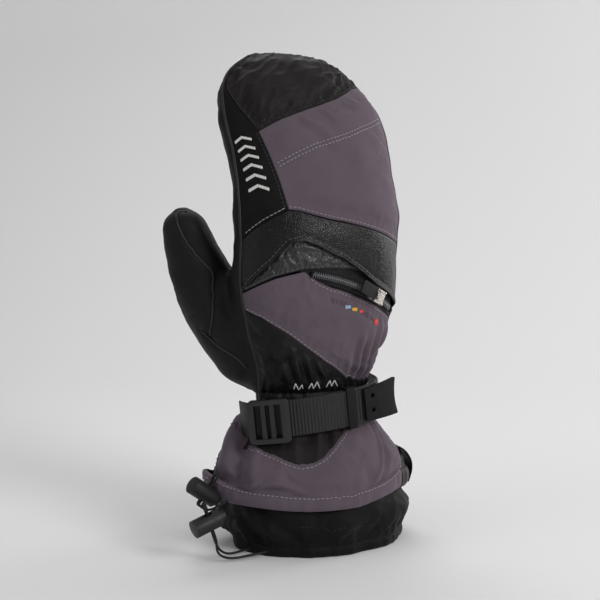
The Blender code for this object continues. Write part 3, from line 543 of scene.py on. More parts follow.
# ------------------------------------------------------------------ fabric panels
def spaced(length, step):
    """Shares of a length: close rows at both ends, even rows between."""
    edge = [e for e in (0, .3, .75, 1.4) if e < length * .25]
    inner = edge[-1]
    count = max(2, int(round((length - 2 * inner) / step)))
    middle = np.linspace(inner, length - inner, count + 1)
    return np.concatenate([edge[:-1], middle, [length - e for e in edge[-2::-1]]]) / length


class Sheet:
    """A fabric panel: a grid of points with normals and distances from its edges."""

    def __init__(self, name, points, normals, angle, closed=False):
        self.name, self.rest, self.normals = name, points, normals
        self.angle, self.closed = angle, closed
        self.points = points.copy()
        self.across, self.up = along(points, 1), along(points, 0)
        far = np.full(self.across.shape, 1e3)
        self.left = far if closed else self.across
        self.right = far if closed else self.across[:, -1:] - self.across
        self.low, self.high = self.up, self.up[-1:, :] - self.up
        self.edge = np.minimum.reduce([self.left, self.right, self.low, self.high])

    def push(self, distance):
        self.points = self.points + self.normals * np.asarray(distance)[..., None]

    def roll(self, radius, sides=("left", "right", "low", "high")):
        """Turned edges: the panel rounds over into its seam."""
        edge = np.minimum.reduce([getattr(self, side) for side in sides])
        share = np.clip(1 - edge / radius, 0, 1)
        self.push(-radius * (1 - np.sqrt(np.maximum(1 - share * share, 0))))

    def pucker(self, side, height, length, reach, seed):
        """Small waves along one edge."""
        edge = getattr(self, side)
        x = self.across if side in ("low", "high") else self.up
        wave = (ripple(x, length, 1.9 * ripple(x, length * 3.7, seed) + seed * 2.1)
                * (.6 + .4 * ripple(x, length * 5.3, seed * 1.3)))
        self.push(height * decay(edge, reach) * wave * rise(edge, 1.0))

    def update_normals(self):
        d_row = np.gradient(self.points, axis=0)
        d_column = np.gradient(self.points, axis=1)
        if self.closed:
            d_column = (np.roll(self.points, -1, 1) - np.roll(self.points, 1, 1)) / 2
        normals = unit(np.cross(d_column, d_row), 1e-12)
        side = np.sign((normals * self.normals).sum(-1, keepdims=True) + 1e-9)
        self.normals = normals * side

    def uv(self):
        return np.stack([self.across.ravel(), self.up.ravel()], -1) * .01

    def build(self, material, thick=.9):
        quads = facing_quads(self.points, self.normals, self.closed)
        obj = mesh_object(self.name, self.points.reshape(-1, 3), quads, material, self.uv())
        thicken(obj, thick)
        return obj


def make_sheet(name, place, normal_at, edges, step, trial, closed=False):
    """Panel between low and high edges (level by angle) and left and right ones (angle by level).

    Level is a station on the hand and z on a cuff.
    """
    low, high, left, right = (e if callable(e) else constant(e) for e in edges)

    def solve(fu, fv):
        angle = np.full(np.broadcast(fu, fv).shape, 90.0)
        for _ in range(10):     # the edges depend on each other, so close in on both
            bottom, top = low(angle), high(angle)
            level = bottom + (top - bottom) * fv
            start, end = left(level), right(level)
            angle = start + (end - start) * fu
        return level, angle

    shares = np.linspace(0, 1, trial)
    points = place(*solve(shares[None, :], shares[:, None]))
    width, height = along(points, 1)[:, -1].max(), along(points, 0)[-1, :].max()
    fv = spaced(height, step)
    if closed:
        count = int(width / step)
        fu = np.arange(count) / count
    else:
        fu = spaced(width, step)
    level, angle = solve(fu[None, :], fv[:, None])
    return Sheet(name, place(level, angle), normal_at(level, angle), angle, closed)


def hand_sheet(name, low, high, left, right, step):
    return make_sheet(name, hand, hand_normal, (low, high, left, right), step, trial=24)


def cuff_sheet(name, form, edges, step, closed=False):
    return make_sheet(name, lambda z, angle: cuff(form, z, angle),
                      lambda z, angle: cuff_normal(form, z, angle), edges, step, 40, closed)


def edge_hold(sheet, reach, least):
    """Pin weights: full at the panel's edges, falling to least."""
    return np.clip(1 - (sheet.edge - .8) / reach, least, 1)


def run_cloth(obj, hold, pressure, grow, frames, quality, stiffness, shear, bending):
    """Runs the cloth solver on a scaled-up object, removes it and returns its points in mm."""
    group = obj.vertex_groups.new(name="pin")
    for i, weight in enumerate(hold):
        group.add([i], float(min(max(weight, 0), 1)), "REPLACE")
    modifier = obj.modifiers.new("Cloth", "CLOTH")
    settings = modifier.settings
    settings.quality = quality
    settings.mass = .3
    settings.tension_stiffness = settings.compression_stiffness = stiffness
    settings.shear_stiffness = shear
    settings.bending_stiffness = bending
    settings.tension_damping = settings.compression_damping = 12
    settings.shear_damping = 8
    settings.bending_damping = .5
    settings.air_damping = 4
    settings.use_pressure = True
    settings.uniform_pressure_force = pressure
    settings.shrink_min = -grow
    settings.vertex_group_mass = "pin"
    settings.pin_stiffness = 2.0
    settings.effector_weights.gravity = 0
    modifier.collision_settings.use_collision = False
    modifier.point_cache.frame_start = 1
    modifier.point_cache.frame_end = frames
    scene = bpy.context.scene
    for number in range(1, frames + 1):
        scene.frame_set(number)
    result = obj.evaluated_get(bpy.context.evaluated_depsgraph_get()).to_mesh()
    coords = np.zeros(len(result.vertices) * 3)
    result.vertices.foreach_get("co", coords)
    scene.frame_set(1)
    bpy.data.objects.remove(obj, do_unlink=True)
    return coords.reshape(-1, 3) / MM / SIM_SCALE


def limit_length(moves, limit):
    size = np.linalg.norm(moves, axis=1, keepdims=True)
    return moves * np.minimum(1, limit / np.maximum(size, 1e-9))


def spread(values, picks, count, wrap):
    """Carries rows of a thinned grid back to every row, smoothly."""
    if wrap:
        picks = np.concatenate([picks, [count]])
        values = np.concatenate([values, values[:1]])
    x = np.arange(count)
    j = np.clip(np.searchsorted(picks, x, side="right") - 1, 0, len(picks) - 2)
    f = ((x - picks[j]) / (picks[j + 1] - picks[j]))[:, None, None]
    ease = f * f * (3 - 2 * f) * .5 + f * .5
    return values[j] * (1 - ease) + values[j + 1] * ease


def simulate(sheet, hold, pressure, grow, limit):
    """Cloth simulation on every second row and column, carried back to the full grid."""
    def thinned(count):
        return np.unique(np.concatenate([np.arange(0, count, 2), [count - 1]]))

    rows, columns = sheet.points.shape[:2]
    row_picks = thinned(rows)
    column_picks = np.arange(0, columns - columns % 2, 2) if sheet.closed else thinned(columns)
    picks = np.ix_(row_picks, column_picks)
    points, normals = sheet.points[picks], sheet.normals[picks]
    quads = facing_quads(points, normals, sheet.closed)
    shape = points.shape
    points, normals = points.reshape(-1, 3), normals.reshape(-1, 3)
    obj = mesh_object("sim", points * SIM_SCALE, quads)
    moved = run_cloth(obj, hold[picks].ravel(), pressure, grow, frames=18, quality=6,
                      stiffness=6.0, shear=6.0 * .6, bending=.25)
    moves = moved - points
    if not np.isfinite(moves).all():    # the solver can blow up: the panel then stays as it is
        return
    outward = normals * (moves * normals).sum(1, keepdims=True)
    moves = outward * 1.15 + (moves - outward) * .22      # seams stay on their lines
    moves = spread(limit_length(moves, limit).reshape(shape), row_picks, rows, False)
    moves = spread(np.swapaxes(moves, 0, 1), column_picks, columns, sheet.closed)
    sheet.points = sheet.points + np.swapaxes(moves, 0, 1)


def puff(sheet, hold, pressure, grow, limit):
    """Puffs and wrinkles a panel under pressure; no point moves further than limit."""
    simulate(sheet, hold, pressure, grow, limit)
    sheet.update_normals()


# ------------------------------------------------------------------ material helpers
def srgb(rgb):
    """Linear colour from 8-bit values."""
    return tuple((v / 255) / 12.92 if v <= 10.3 else ((v / 255 + .055) / 1.055) ** 2.4
                 for v in rgb) + (1.0,)


def tone(base, factor, lift=0.0):
    return tuple(min(1, c * factor + lift) for c in base[:3]) + (1,)


class Shader:
    """Builds the nodes of one Principled material."""

    def __init__(self, name):
        self.material = bpy.data.materials.new(name)
        self.material.use_nodes = True
        self.tree = self.material.node_tree
        self.bsdf = self.tree.nodes["Principled BSDF"]
        self.coordinates = self.node("ShaderNodeTexCoord")

    def node(self, kind, **settings):
        node = self.tree.nodes.new(kind)
        for key, value in settings.items():
            setattr(node, key, value)
        return node

    def feed(self, socket, value):
        """Links a socket into another, or sets a plain value."""
        if hasattr(value, "links"):
            self.tree.links.new(value, socket)
        else:
            socket.default_value = value

    def set(self, **inputs):
        """Principled inputs, named with _ for each space."""
        for key, value in inputs.items():
            self.feed(self.bsdf.inputs[key.replace("_", " ")], value)

    def math(self, operation, *values):
        node = self.node("ShaderNodeMath", operation=operation)
        for socket, value in zip(node.inputs, values):
            self.feed(socket, value)
        return node.outputs[0]

    def noise(self, scale, detail=3, rough=.5, stretch=None):
        node = self.node("ShaderNodeTexNoise")
        node.inputs["Scale"].default_value = scale
        node.inputs["Detail"].default_value = detail
        node.inputs["Roughness"].default_value = rough
        source = self.coordinates.outputs["Object"]
        if stretch:
            mapping = self.node("ShaderNodeMapping")
            mapping.inputs["Scale"].default_value = stretch
            self.feed(mapping.inputs[0], source)
            source = mapping.outputs[0]
        self.feed(node.inputs["Vector"], source)
        return node.outputs["Fac"]

    def waves(self, per_unit, axis, skew=0.0):
        """Sine wave along a UV axis, 0..1."""
        split = self.node("ShaderNodeSeparateXYZ")
        self.feed(split.inputs[0], self.coordinates.outputs["UV"])
        value = split.outputs[axis]
        if skew:
            value = self.math("ADD", value, self.math("MULTIPLY", split.outputs[1 - axis], skew))
        value = self.math("SINE", self.math("MULTIPLY", value, per_unit * 2 * math.pi))
        return self.math("MULTIPLY_ADD", value, .5, .5)

    def ramp(self, factor, low, high):
        """Colour from low at .3 to high at .7."""
        node = self.node("ShaderNodeValToRGB")
        for element, place, colour in zip(node.color_ramp.elements, (.3, .7), (low, high)):
            element.position = place
            element.color = colour
        self.feed(node.inputs[0], factor)
        return node.outputs[0]

    def mix(self, factor, first, second):
        node = self.node("ShaderNodeMix", data_type="RGBA")
        for index, value in ((0, factor), (6, first), (7, second)):
            self.feed(node.inputs[index], value)
        return node.outputs[2]

    def map(self, value, low, high, start=0.0, end=1.0):
        """Maps start..end onto low..high."""
        node = self.node("ShaderNodeMapRange")
        for index, item in enumerate((value, start, end, low, high)):
            self.feed(node.inputs[index], item)
        return node.outputs[0]

    def bump(self, *layers):
        """layers: (height socket, distance in mm)"""
        previous = None
        for height, distance in layers:
            node = self.node("ShaderNodeBump")
            node.inputs["Strength"].default_value = 1.0
            node.inputs["Distance"].default_value = distance * MM
            self.feed(node.inputs["Height"], height)
            if previous is not None:
                self.feed(node.inputs["Normal"], previous)
            previous = node.outputs[0]
        self.feed(self.bsdf.inputs["Normal"], previous)

    def wear_and_highlight(self, amount):
        """Mask of the raised edges: lightened there as edge wear, and as a painted highlight where
        the amount is large.
        """
        geometry = self.node("ShaderNodeNewGeometry")
        return self.map(geometry.outputs["Pointiness"], 0, amount, .505, .60)


def fabric(name, rgb, rough, pitch, spec, weave=.03, sheen=.03, tint=None, mottle=.14,
           crumple=.02, twill=0.0, wear_and_highlight=.2):
    """Woven cloth: thread pitch in mm; weave and crumple are bump depths in mm."""
    shader = Shader(name)
    per_unit = 100 / pitch
    warp = shader.waves(per_unit, 0, skew=twill)
    weft = shader.waves(per_unit, 1)
    over = shader.math("MULTIPLY", warp, shader.math("SUBTRACT", 1.25, weft))
    height = shader.math("MAXIMUM", over, shader.math("MULTIPLY", weft, .85))
    broad = shader.noise(38, 4, .6)
    fine = shader.noise(900, 2, .6)
    slub = shader.noise(260, 2, .5, stretch=(1, 1, .18))
    base = srgb(rgb)
    colour = shader.ramp(broad, tone(base, 1 - mottle), tone(base, 1 + mottle))
    colour = shader.mix(shader.map(fine, 0, .35), colour, tone(base, .72))
    colour = shader.mix(shader.math("MULTIPLY", height, .16), colour, tone(base, 1.5))
    # raised edges lightened: edge wear, and where the amount is large (the webbing) a painted
    # highlight
    edge_wear_and_highlight = shader.math("MULTIPLY", shader.wear_and_highlight(.5), wear_and_highlight)
    colour = shader.mix(edge_wear_and_highlight, colour, tone(base, 1.5, .004))
    shader.set(Base_Color=colour,
               Roughness=shader.map(shader.noise(120), rough - .07, rough + .07, .3, .7),
               Specular_IOR_Level=spec, Sheen_Weight=sheen, Sheen_Roughness=.45)
    if tint:
        shader.set(Sheen_Tint=srgb(tint))
    shader.bump((height, weave), (slub, weave * .6), (shader.noise(150), crumple))
    return shader.material


def leather(name, rgb, cell, rough, depth, spec, coat=0.0, shine=.04, crumple=.09):
    """Grained leather: cell size, grain depth and crumple in mm; shine varies the roughness."""
    shader = Shader(name)
    warp = shader.node("ShaderNodeMix", data_type="VECTOR")
    wobble = shader.node("ShaderNodeTexNoise")
    wobble.inputs["Scale"].default_value = 260
    place = shader.coordinates.outputs["Object"]
    shader.feed(wobble.inputs["Vector"], place)
    for index, value in ((0, .0012), (4, place), (5, wobble.outputs["Color"])):
        shader.feed(warp.inputs[index], value)
    cells = []
    for feature, size in (("DISTANCE_TO_EDGE", cell), ("F1", cell * 2.7)):
        node = shader.node("ShaderNodeTexVoronoi", feature=feature)
        node.inputs["Scale"].default_value = 1000 / size
        shader.feed(node.inputs["Vector"], warp.outputs[1])
        cells.append(node.outputs["Distance"])
    creases = shader.map(cells[0], 0, 1, 0, .22)
    grain = shader.math("ADD", creases, shader.math("MULTIPLY", cells[1], -.35))
    base = srgb(rgb)
    # painted shade: darker in the grain's creases, where the cells meet
    colour = shader.mix(shader.map(creases, .55, 0), base, tone(base, .45))
    blotches = shader.math("MULTIPLY", shader.noise(45, 4), .25)
    colour = shader.mix(blotches, colour, tone(base, 1.3))
    edge_wear_and_highlight = shader.math("MULTIPLY", shader.wear_and_highlight(.6), .5)
    colour = shader.mix(edge_wear_and_highlight, colour, tone(base, 1.8, .006))
    gloss = shader.map(shader.noise(55), rough - shine, rough + shine, .3, .7)
    shader.set(Base_Color=colour,
               Roughness=shader.math("ADD", gloss, shader.map(creases, .14, 0)),
               Specular_IOR_Level=spec, Coat_Weight=coat, Coat_Roughness=.35)
    shader.bump((grain, depth), (shader.noise(1500), .025), (shader.noise(120), crumple))
    return shader.material


def plastic(name, rgb, rough, spec=.45, grain=.02, wear_and_highlight=.4, metal=0.0):
    """Moulded plastic or metal; grain is a bump depth in mm."""
    shader = Shader(name)
    base = srgb(rgb)
    colour = shader.ramp(shader.noise(90, 4), tone(base, .85), tone(base, 1.15))
    edge_wear_and_highlight = shader.math("MULTIPLY", shader.wear_and_highlight(.8), wear_and_highlight)
    colour = shader.mix(edge_wear_and_highlight, colour, tone(base, 2, .02))
    scratches = shader.noise(700, 3, .6, stretch=(1, 1, .15))
    gloss = shader.map(shader.noise(160), rough - .06, rough + .06, .3, .7)
    shader.set(Base_Color=colour, Metallic=metal, Specular_IOR_Level=spec,
               Roughness=shader.math("ADD", gloss, shader.math("MULTIPLY", scratches, .06)))
    shader.bump((shader.noise(2600, 2), grain), (shader.noise(300, 2), grain * 1.2))
    return shader.material


def thread(name, rgb, rough=.55, sheen=.3):
    shader = Shader(name)
    base = srgb(rgb)
    ply = shader.noise(2400, 2)
    shader.set(Base_Color=shader.ramp(ply, tone(base, .7), base), Roughness=rough,
               Sheen_Weight=sheen)
    shader.bump((ply, .05))
    return shader.material


# ------------------------------------------------------------------ materials
SHEEN_TINT = (205, 190, 208)
SOFTSHELL = fabric("softshell", (87, 76, 85), rough=.86, pitch=.42, spec=.25, weave=.035,
                   sheen=.26, tint=SHEEN_TINT, mottle=.05, crumple=.05, twill=.5)
CUFF_SHELL = fabric("softshell_cuff", (86, 75, 84), rough=.84, pitch=.5, spec=.25, weave=.04,
                    sheen=.26, tint=SHEEN_TINT, mottle=.06, crumple=.07)
NYLON = fabric("black_nylon", (26, 22, 22), rough=.62, pitch=.4, spec=.17, sheen=.05,
               crumple=.10, wear_and_highlight=.25)
WRIST_NYLON = fabric("wrist_nylon", (11, 9, 10), rough=.50, pitch=.4, spec=.20, crumple=.12,
                     wear_and_highlight=.25)
GAITER_NYLON = fabric("gaiter_nylon", (12, 10, 11), rough=.66, pitch=.45, spec=.15, sheen=.04,
                      mottle=.16, crumple=.14)
STRIP_FABRIC = fabric("strip_fabric", (7, 6, 7), rough=.8, pitch=.35, spec=.2, weave=.025,
                      mottle=.12, crumple=.03)
KNUCKLE_LEATHER = leather("knuckle_leather", (6, 5, 6), cell=1.45, rough=.31, depth=.105,
                          spec=.30, shine=.02, crumple=.03)
# a lighter copy of the knuckle leather: its lighter colour is a painted highlight on a panel that
# faces down
WEDGE_LEATHER_PAINTED_HIGHLIGHT = leather("pocket_edge_leather", (14, 13, 14), cell=1.4, rough=.31, depth=.11,
                        spec=.60, shine=.03, crumple=.05)
PALM_LEATHER = leather("palm_leather", (15, 13, 14), cell=1.0, rough=.52, depth=.06, spec=.22)
PIPING = leather("piping_leather", (30, 29, 30), cell=.8, rough=.45, depth=.03, spec=.35,
                 coat=.06, shine=.12)
FLEECE = fabric("lining_fleece", (46, 44, 48), rough=.95, pitch=.9, spec=.12, weave=.10,
                sheen=.4, mottle=.16, crumple=.20, wear_and_highlight=.1)
ZIP_TAPE = fabric("zip_tape", (8, 7, 8), rough=.7, pitch=.7, spec=.28, weave=.06, mottle=.12)
# the large edge lightening paints highlights on the crests of the webbing's ribs
WEBBING = fabric("webbing", (8, 7, 8), rough=.42, pitch=.6, spec=.40, weave=.05, sheen=.02,
                 wear_and_highlight=2.6)
CORD = fabric("cord_braid", (17, 16, 17), rough=.6, pitch=.6, spec=.3, weave=.08, sheen=.05,
              mottle=.12, wear_and_highlight=.3)
BUCKLE = plastic("buckle_plastic", (26, 25, 26), rough=.38, spec=.42)
RUBBER = plastic("tab_rubber", (12, 11, 13), rough=.62, spec=.17, grain=.03)
LOCK = plastic("lock_plastic", (20, 20, 21), rough=.48, spec=.36)
COIL = plastic("coil_plastic", (92, 91, 94), rough=.26, spec=.6, grain=.008)
COIL_CORE = plastic("coil_core", (12, 12, 12), rough=.7, spec=.2, grain=.01)
PULL_RUBBER = plastic("pull_rubber", (20, 20, 21), rough=.55, spec=.3)
SLIDER_METAL = plastic("slider_metal", (205, 198, 190), rough=.24, grain=.006, metal=1.0,
                       wear_and_highlight=.2)
STEEL = plastic("spring_steel", (150, 150, 152), rough=.3, grain=.006, metal=1.0, wear_and_highlight=.2)
GREY_THREAD = thread("grey_thread", (150, 142, 150))
DARK_THREAD = thread("dark_thread", (38, 36, 38), sheen=.15)
BLACK_THREAD = thread("black_thread", (15, 14, 15), sheen=.05)
LEATHER_THREAD = thread("leather_thread", (70, 68, 70), sheen=.15)
WHITE_THREAD = thread("white_thread", (215, 213, 210))
SATIN = thread("satin_thread", (226, 224, 220), rough=.42, sheen=.5)
BLUE_THREAD = thread("blue_thread", (150, 185, 215))
YELLOW_THREAD = thread("yellow_thread", (240, 180, 45))
RED_THREAD = thread("red_thread", (215, 45, 38))


# ------------------------------------------------------------------ back panels of the hand
def shifted(seam, distance):
    """Seam moved by a distance up the hand."""
    def moved(angle):
        station = seam(angle)
        step = hand(station + .01, angle) - hand(station - .01, angle)
        per_station = np.linalg.norm(step, axis=-1) / .02
        return station + distance / np.maximum(per_station, 4)
    return moved


def line_on_hand(seam, start, end, distance=0.0):
    angle = np.linspace(start, end, 80)
    return hand(shifted(seam, distance)(angle), angle)


FINGER_ROW_LINE = line_on_hand(FINGER_ROW, 25, 124.5)


def fingertip_cap():
    """Plain woven nylon, gathered a little where it meets the seams."""
    sheet = hand_sheet("fingertip_cap_cloth", CAP_SEAM, 12.94, LITTLE_SIDE, STRIP_EDGE, 1.25)
    rest = sheet.rest
    sheet.push(hand_unevenness(rest) + 1.0 * rise(sheet.edge, 9))
    puff(sheet, edge_hold(sheet, 9, .12), pressure=1.5, grow=.03, limit=2.4)
    run = np.array([[.62, .1, .78], [1, 0, 0], [0, 1, 0]]).T        # wrinkles run along this
    turned = rest @ np.linalg.qr(run)[0]
    seam = np.minimum(sheet.low, sheet.right)
    sheet.push(1.6 * ridged(Waves(21, 15, stretch=(3.4, 1, 1))(turned))
               * rise(sheet.edge, 4) * decay(seam, 26))
    sheet.push(.75 * ridged(Waves(22, 7, stretch=(2.5, 1, 1))(turned))
               * rise(sheet.edge, 3) * decay(seam, 18))
    sheet.push(folds(rest, lambda *point: point, (
        ((8, -22, 318), (17, -30, 300), 1.8, 1.5),
        ((0, -20, 322), (8, -28, 306), 1.6, 1.2),
        ((12, -24, 316), (22, -32, 300), 2.0, -1.4))))
    sheet.pucker("low", .75, 4.6, 5.5, 1)
    sheet.pucker("right", .38, 5.0, 4.5, 2)
    sheet.pucker("left", .25, 6.0, 5, 3)
    sheet.roll(1.0)
    return sheet.build(NYLON)


def finger_back():
    """Upper softshell panel over the fingers."""
    sheet = hand_sheet("finger_back_softshell", KNUCKLE_SEAM, CAP_SEAM, LITTLE_SIDE, STRIP_EDGE,
                       1.35)
    sheet.push(hand_unevenness(sheet.rest) + .9 * rise(sheet.edge, 10))
    puff(sheet, edge_hold(sheet, 10, .14), pressure=1.8, grow=.02, limit=3.0)
    sheet.push(folds(sheet.rest, hand, (
        ((7.7, 104), (6.6, 88), 3.0, -1.3), ((7.7, 98), (6.9, 84), 2.8, 1.0),
        ((7.4, 120), (5.6, 96), 5.0, -.5), ((8.3, 60), (5.4, 52), 6.0, -.5),
        ((7.2, 74), (5.3, 66), 6.0, .4))))
    away, _ = nearest_on(sheet.rest, FINGER_ROW_LINE)
    sheet.push(-.28 * bell(away, 1.6) + .18 * bell(away - 4, 2.2))
    sheet.pucker("high", .16, 6.5, 6, 4)
    sheet.pucker("low", .14, 6, 5, 5)
    sheet.pucker("left", .12, 8, 5, 6)
    sheet.roll(.9)
    return sheet.build(SOFTSHELL)


def index_strip():
    """Strip along the index finger side."""
    sheet = hand_sheet("index_side_strip", KNUCKLE_SEAM, 9.70, STRIP_EDGE, THUMB_SIDE, 1.1)
    sheet.push(hand_unevenness(sheet.rest) + .45 * rise(sheet.edge, 5))
    sheet.pucker("low", .12, 6, 5, 7)
    sheet.roll(.8)
    return sheet.build(STRIP_FABRIC)


def knuckle_band():
    """Crowned leather; its lower edge is a proud folded lip over the pocket."""
    sheet = hand_sheet("knuckle_band_leather", FLAP_SEAM, KNUCKLE_SEAM, LITTLE_SIDE, THUMB_SIDE,
                       1.1)
    sides = np.minimum(sheet.left, sheet.right)
    sheet.push(hand_unevenness(sheet.rest) + 1.5 * rise(sheet.high, 7) * rise(sides, 8))
    puff(sheet, edge_hold(sheet, 6, .3), pressure=1.2, grow=-.004, limit=2.0)
    sheet.push(.07 * ridged(Waves(31, 16)(sheet.rest)) * rise(sheet.edge, 4))
    sheet.push(1.15 * bell(sheet.low, 3.2) * np.clip(sides / 9, 0, 1)
               - .35 * bell(sheet.low - 4.3, 1.3))
    sheet.roll(1.1, ("left", "right", "high"))
    sheet.roll(.7, ("low",))
    return sheet.build(KNUCKLE_LEATHER, thick=1.5)


def pocket_edge():
    """Small leather panel under the lip."""
    sheet = hand_sheet("pocket_edge_leather", WEDGE_SEAM, shifted(FLAP_SEAM, 2.2), 74.5,
                       THUMB_SIDE, 1.0)
    sheet.push(hand_unevenness(sheet.rest) - .9 + 1.3 * rise(sheet.low, 4) * rise(sheet.high, 4))
    puff(sheet, edge_hold(sheet, 5, .25), pressure=1.6, grow=.03, limit=1.6)
    sheet.push(.22 * ridged(Waves(32, 9)(sheet.rest)) * rise(sheet.edge, 3))
    sheet.pucker("low", .22, 4.2, 4, 8)
    sheet.roll(.7, ("low", "right"))
    return sheet.build(WEDGE_LEATHER_PAINTED_HIGHLIGHT, thick=1.3)


def hand_back():
    """Lower softshell panel, drawn into gathers at the strap."""
    sheet = hand_sheet("hand_back_softshell", WRIST_SEAM, POCKET_SEAM, LITTLE_SIDE, THUMB_SIDE,
                       1.3)
    sheet.push(hand_unevenness(sheet.rest) + .8 * rise(sheet.edge, 10))
    puff(sheet, edge_hold(sheet, 9, .16), pressure=1.6, grow=.02, limit=2.6)
    x, z = sheet.rest[..., 0], sheet.rest[..., 2]
    pull = decay(np.clip(z - 110, 0, None), 15)
    sheet.push(pull * (.9 * ripple(x, 8.2, .9 * np.sin(x / 5)) + .35 * ripple(x, 3.9, 1))
               * rise(sheet.low, 3))
    # top station, angle, width, height
    gathers = ((1.5, 75, 1.7, 1.9), (1.9, 70.5, 1.9, -2.0), (2.0, 66, 1.8, 2.3),
               (1.7, 61.5, 1.8, -2.1), (2.1, 57, 2.0, 2.3), (1.9, 52, 2.0, -2.0),
               (2.3, 47, 2.3, 2.2), (2.0, 41, 2.4, -1.6), (2.4, 35, 2.6, 1.6))
    sheet.push(folds(sheet.rest, hand, [
        ((station, angle + 2.0), (-.1, angle - 3.5), width, height)
        for station, angle, width, height in gathers]))
    sheet.pucker("high", .10, 6, 4, 9)
    sheet.pucker("low", .22, 5.5, 5, 10)
    sheet.roll(.9)
    return sheet.build(SOFTSHELL)


def wrist_back():
    """Gathered nylon at the wrist."""
    sheet = hand_sheet("wrist_back_nylon", -.96, WRIST_SEAM, LITTLE_SIDE, THUMB_SIDE, 1.2)
    sheet.push(hand_unevenness(sheet.rest) + .8 * rise(sheet.high, 6))
    puff(sheet, edge_hold(sheet, 6, .16), pressure=1.6, grow=.02, limit=2.6)
    x, z = sheet.rest[..., 0], sheet.rest[..., 2]
    pull = decay(np.clip(z - 106, 0, None), 16)
    calm = 1 - .75 * bell(z - 112.5, 5.5, 4) * bell(x + 11, 17, 4)     # under the zigzag rows
    sheet.push(pull * calm * (.8 * ridged(ripple(x, 15, 1.1 * np.sin(x / 7)))
                              + .55 * ripple(x, 5.3, 1.3 * np.sin(x / 6)))
               * rise(sheet.high, 4))
    sheet.push(-1.2 * bell(z - 107.5, 1.7) * (.7 + .3 * ripple(x, 4.4)))
    # top station, angle, width, height
    gathers = ((1.05, 92, 1.5, 1.7), (1.2, 97.5, 1.5, -1.9), (1.35, 103, 1.6, 2.3),
               (1.3, 108.5, 1.6, -2.1), (1.6, 114.5, 1.7, 2.3), (1.35, 120.5, 1.6, -1.9),
               (1.7, 127, 2.0, 1.7), (1.5, 136, 2.2, -1.5), (1.6, 147, 2.4, 1.2))
    sheet.push(folds(sheet.rest, hand, [
        ((station, angle + 5.5), (.42, angle - 1.5), width, height)
        for station, angle, width, height in gathers]))
    sheet.pucker("high", .22, 5, 4, 11)
    sheet.roll(.9, ("left", "right", "high"))
    return sheet.build(WRIST_NYLON)


cap = fingertip_cap()
upper = finger_back()
strip = index_strip()
knuckle = knuckle_band()
wedge = pocket_edge()
lower = hand_back()
wrist = wrist_back()

# ------------------------------------------------------------------ palm and thumb
LITTLE_PIPING, THUMB_PIPING = 16, 164       # angles of the side seams

# Creases and sewn lines in the palm leather: points, half width, depth (negative is raised)
GROOVES = [
    ([(-78, 26, 230), (-83.2, 30.4, 226), (-85.2, 23.7, 218.1), (-82.6, 19.9, 209.3),
      (-77.6, 17.0, 201.1), (-69.0, 13.7, 192.0), (-63.5, 11.9, 185.9)], 1.4, 1.1),
    ([(-57.8, 4.1, 193.3), (-61.0, 12.1, 185.9), (-65.4, 10.3, 179.3), (-66.7, 9.1, 171.3),
      (-67.6, 8.9, 155.3), (-68.2, 12.5, 144.3)], 3.0, 1.7),
    ([(-72.5, 17.0, 147.0), (-69.6, 14.5, 144.0), (-64.5, 9.3, 139.1), (-58.1, 3.9, 133.7),
      (-51.3, -0.2, 128.5), (-46.6, -1.4, 123.1)], 1.4, 1.0),
    ([(-75.3, 14.2, 181.7), (-74.4, 13.7, 175.6), (-74.2, 13.9, 166.6)], 1.7, -.9),
    ([(-71.0, 12.0, 179.5), (-71.4, 11.5, 169.0)], 1.6, -.8),
    ([(-56.8, -0.5, 169.5), (-58.2, 1.8, 148.9), (-53.6, 0.6, 131.5)], 5.0, .8),
    ([(-38, 20, 190), (-20, 27, 176), (-8, 29, 158), (-6, 28, 138), (-10, 27, 118)], 2.2, 1.1),
    ([(40, 24, 222), (18, 25, 217), (-6, 24, 214), (-34, 20, 216)], 2.6, .8)]


def round_hand():
    station = np.concatenate([np.arange(-1, 11.5, .22), np.linspace(11.5, 12.97, 12)])
    return hand(station[:, None], (np.arange(72) * 360 / 72)[None, :], .4)


def thumb_grid():
    last = len(THUMB) - 1 - 1e-6
    place = np.linspace(0, last, 60)
    middle = spline(THUMB, place)
    before, after = (spline(THUMB, np.clip(place + d, 0, last)) for d in (-.08, .08))
    tangents = (after - before)[:, :3]
    tangents[-3:] = tangents[-4]
    tangents = unit(tangents)
    first = unit(np.array([1.0, 0, 0]) - tangents * tangents[:, :1])
    second = np.cross(tangents, first)
    turn = np.radians(np.arange(48) * 360 / 48)[None, :, None]
    radius = np.maximum(middle[:, 3] - .2, .3)[:, None, None]
    return middle[:, None, :3] + radius * (np.cos(turn) * first[:, None, :]
                                           + np.sin(turn) * second[:, None, :])


def remesh(name, parts):
    """Joins solids into one skin."""
    mesh = bpy.data.meshes.new(name)
    with editing(mesh) as bm:
        for part in parts:
            bm.from_mesh(part.data)
            bpy.data.objects.remove(part, do_unlink=True)
    obj = add_object(name, mesh)
    add_modifier(obj, "remesh", "REMESH", mode="VOXEL", voxel_size=3.2 * MM, adaptivity=0)
    add_modifier(obj, "smooth", "SMOOTH", iterations=3, factor=.5)
    apply_modifiers(obj)
    return obj


# fine map of the hand form, to find the station and angle nearest to a point
MAP_STATIONS = np.concatenate([np.arange(-1, 11.5, .08), np.linspace(11.5, 12.99, 30)])
MAP_ANGLES = np.arange(0, 360, 1.5)
HAND_MAP = hand(MAP_STATIONS[:, None], MAP_ANGLES[None, :]).reshape(-1, 3)
MAP_TREE = KDTree(len(HAND_MAP))
for number, point in enumerate(HAND_MAP):
    MAP_TREE.insert(point, number)
MAP_TREE.balance()


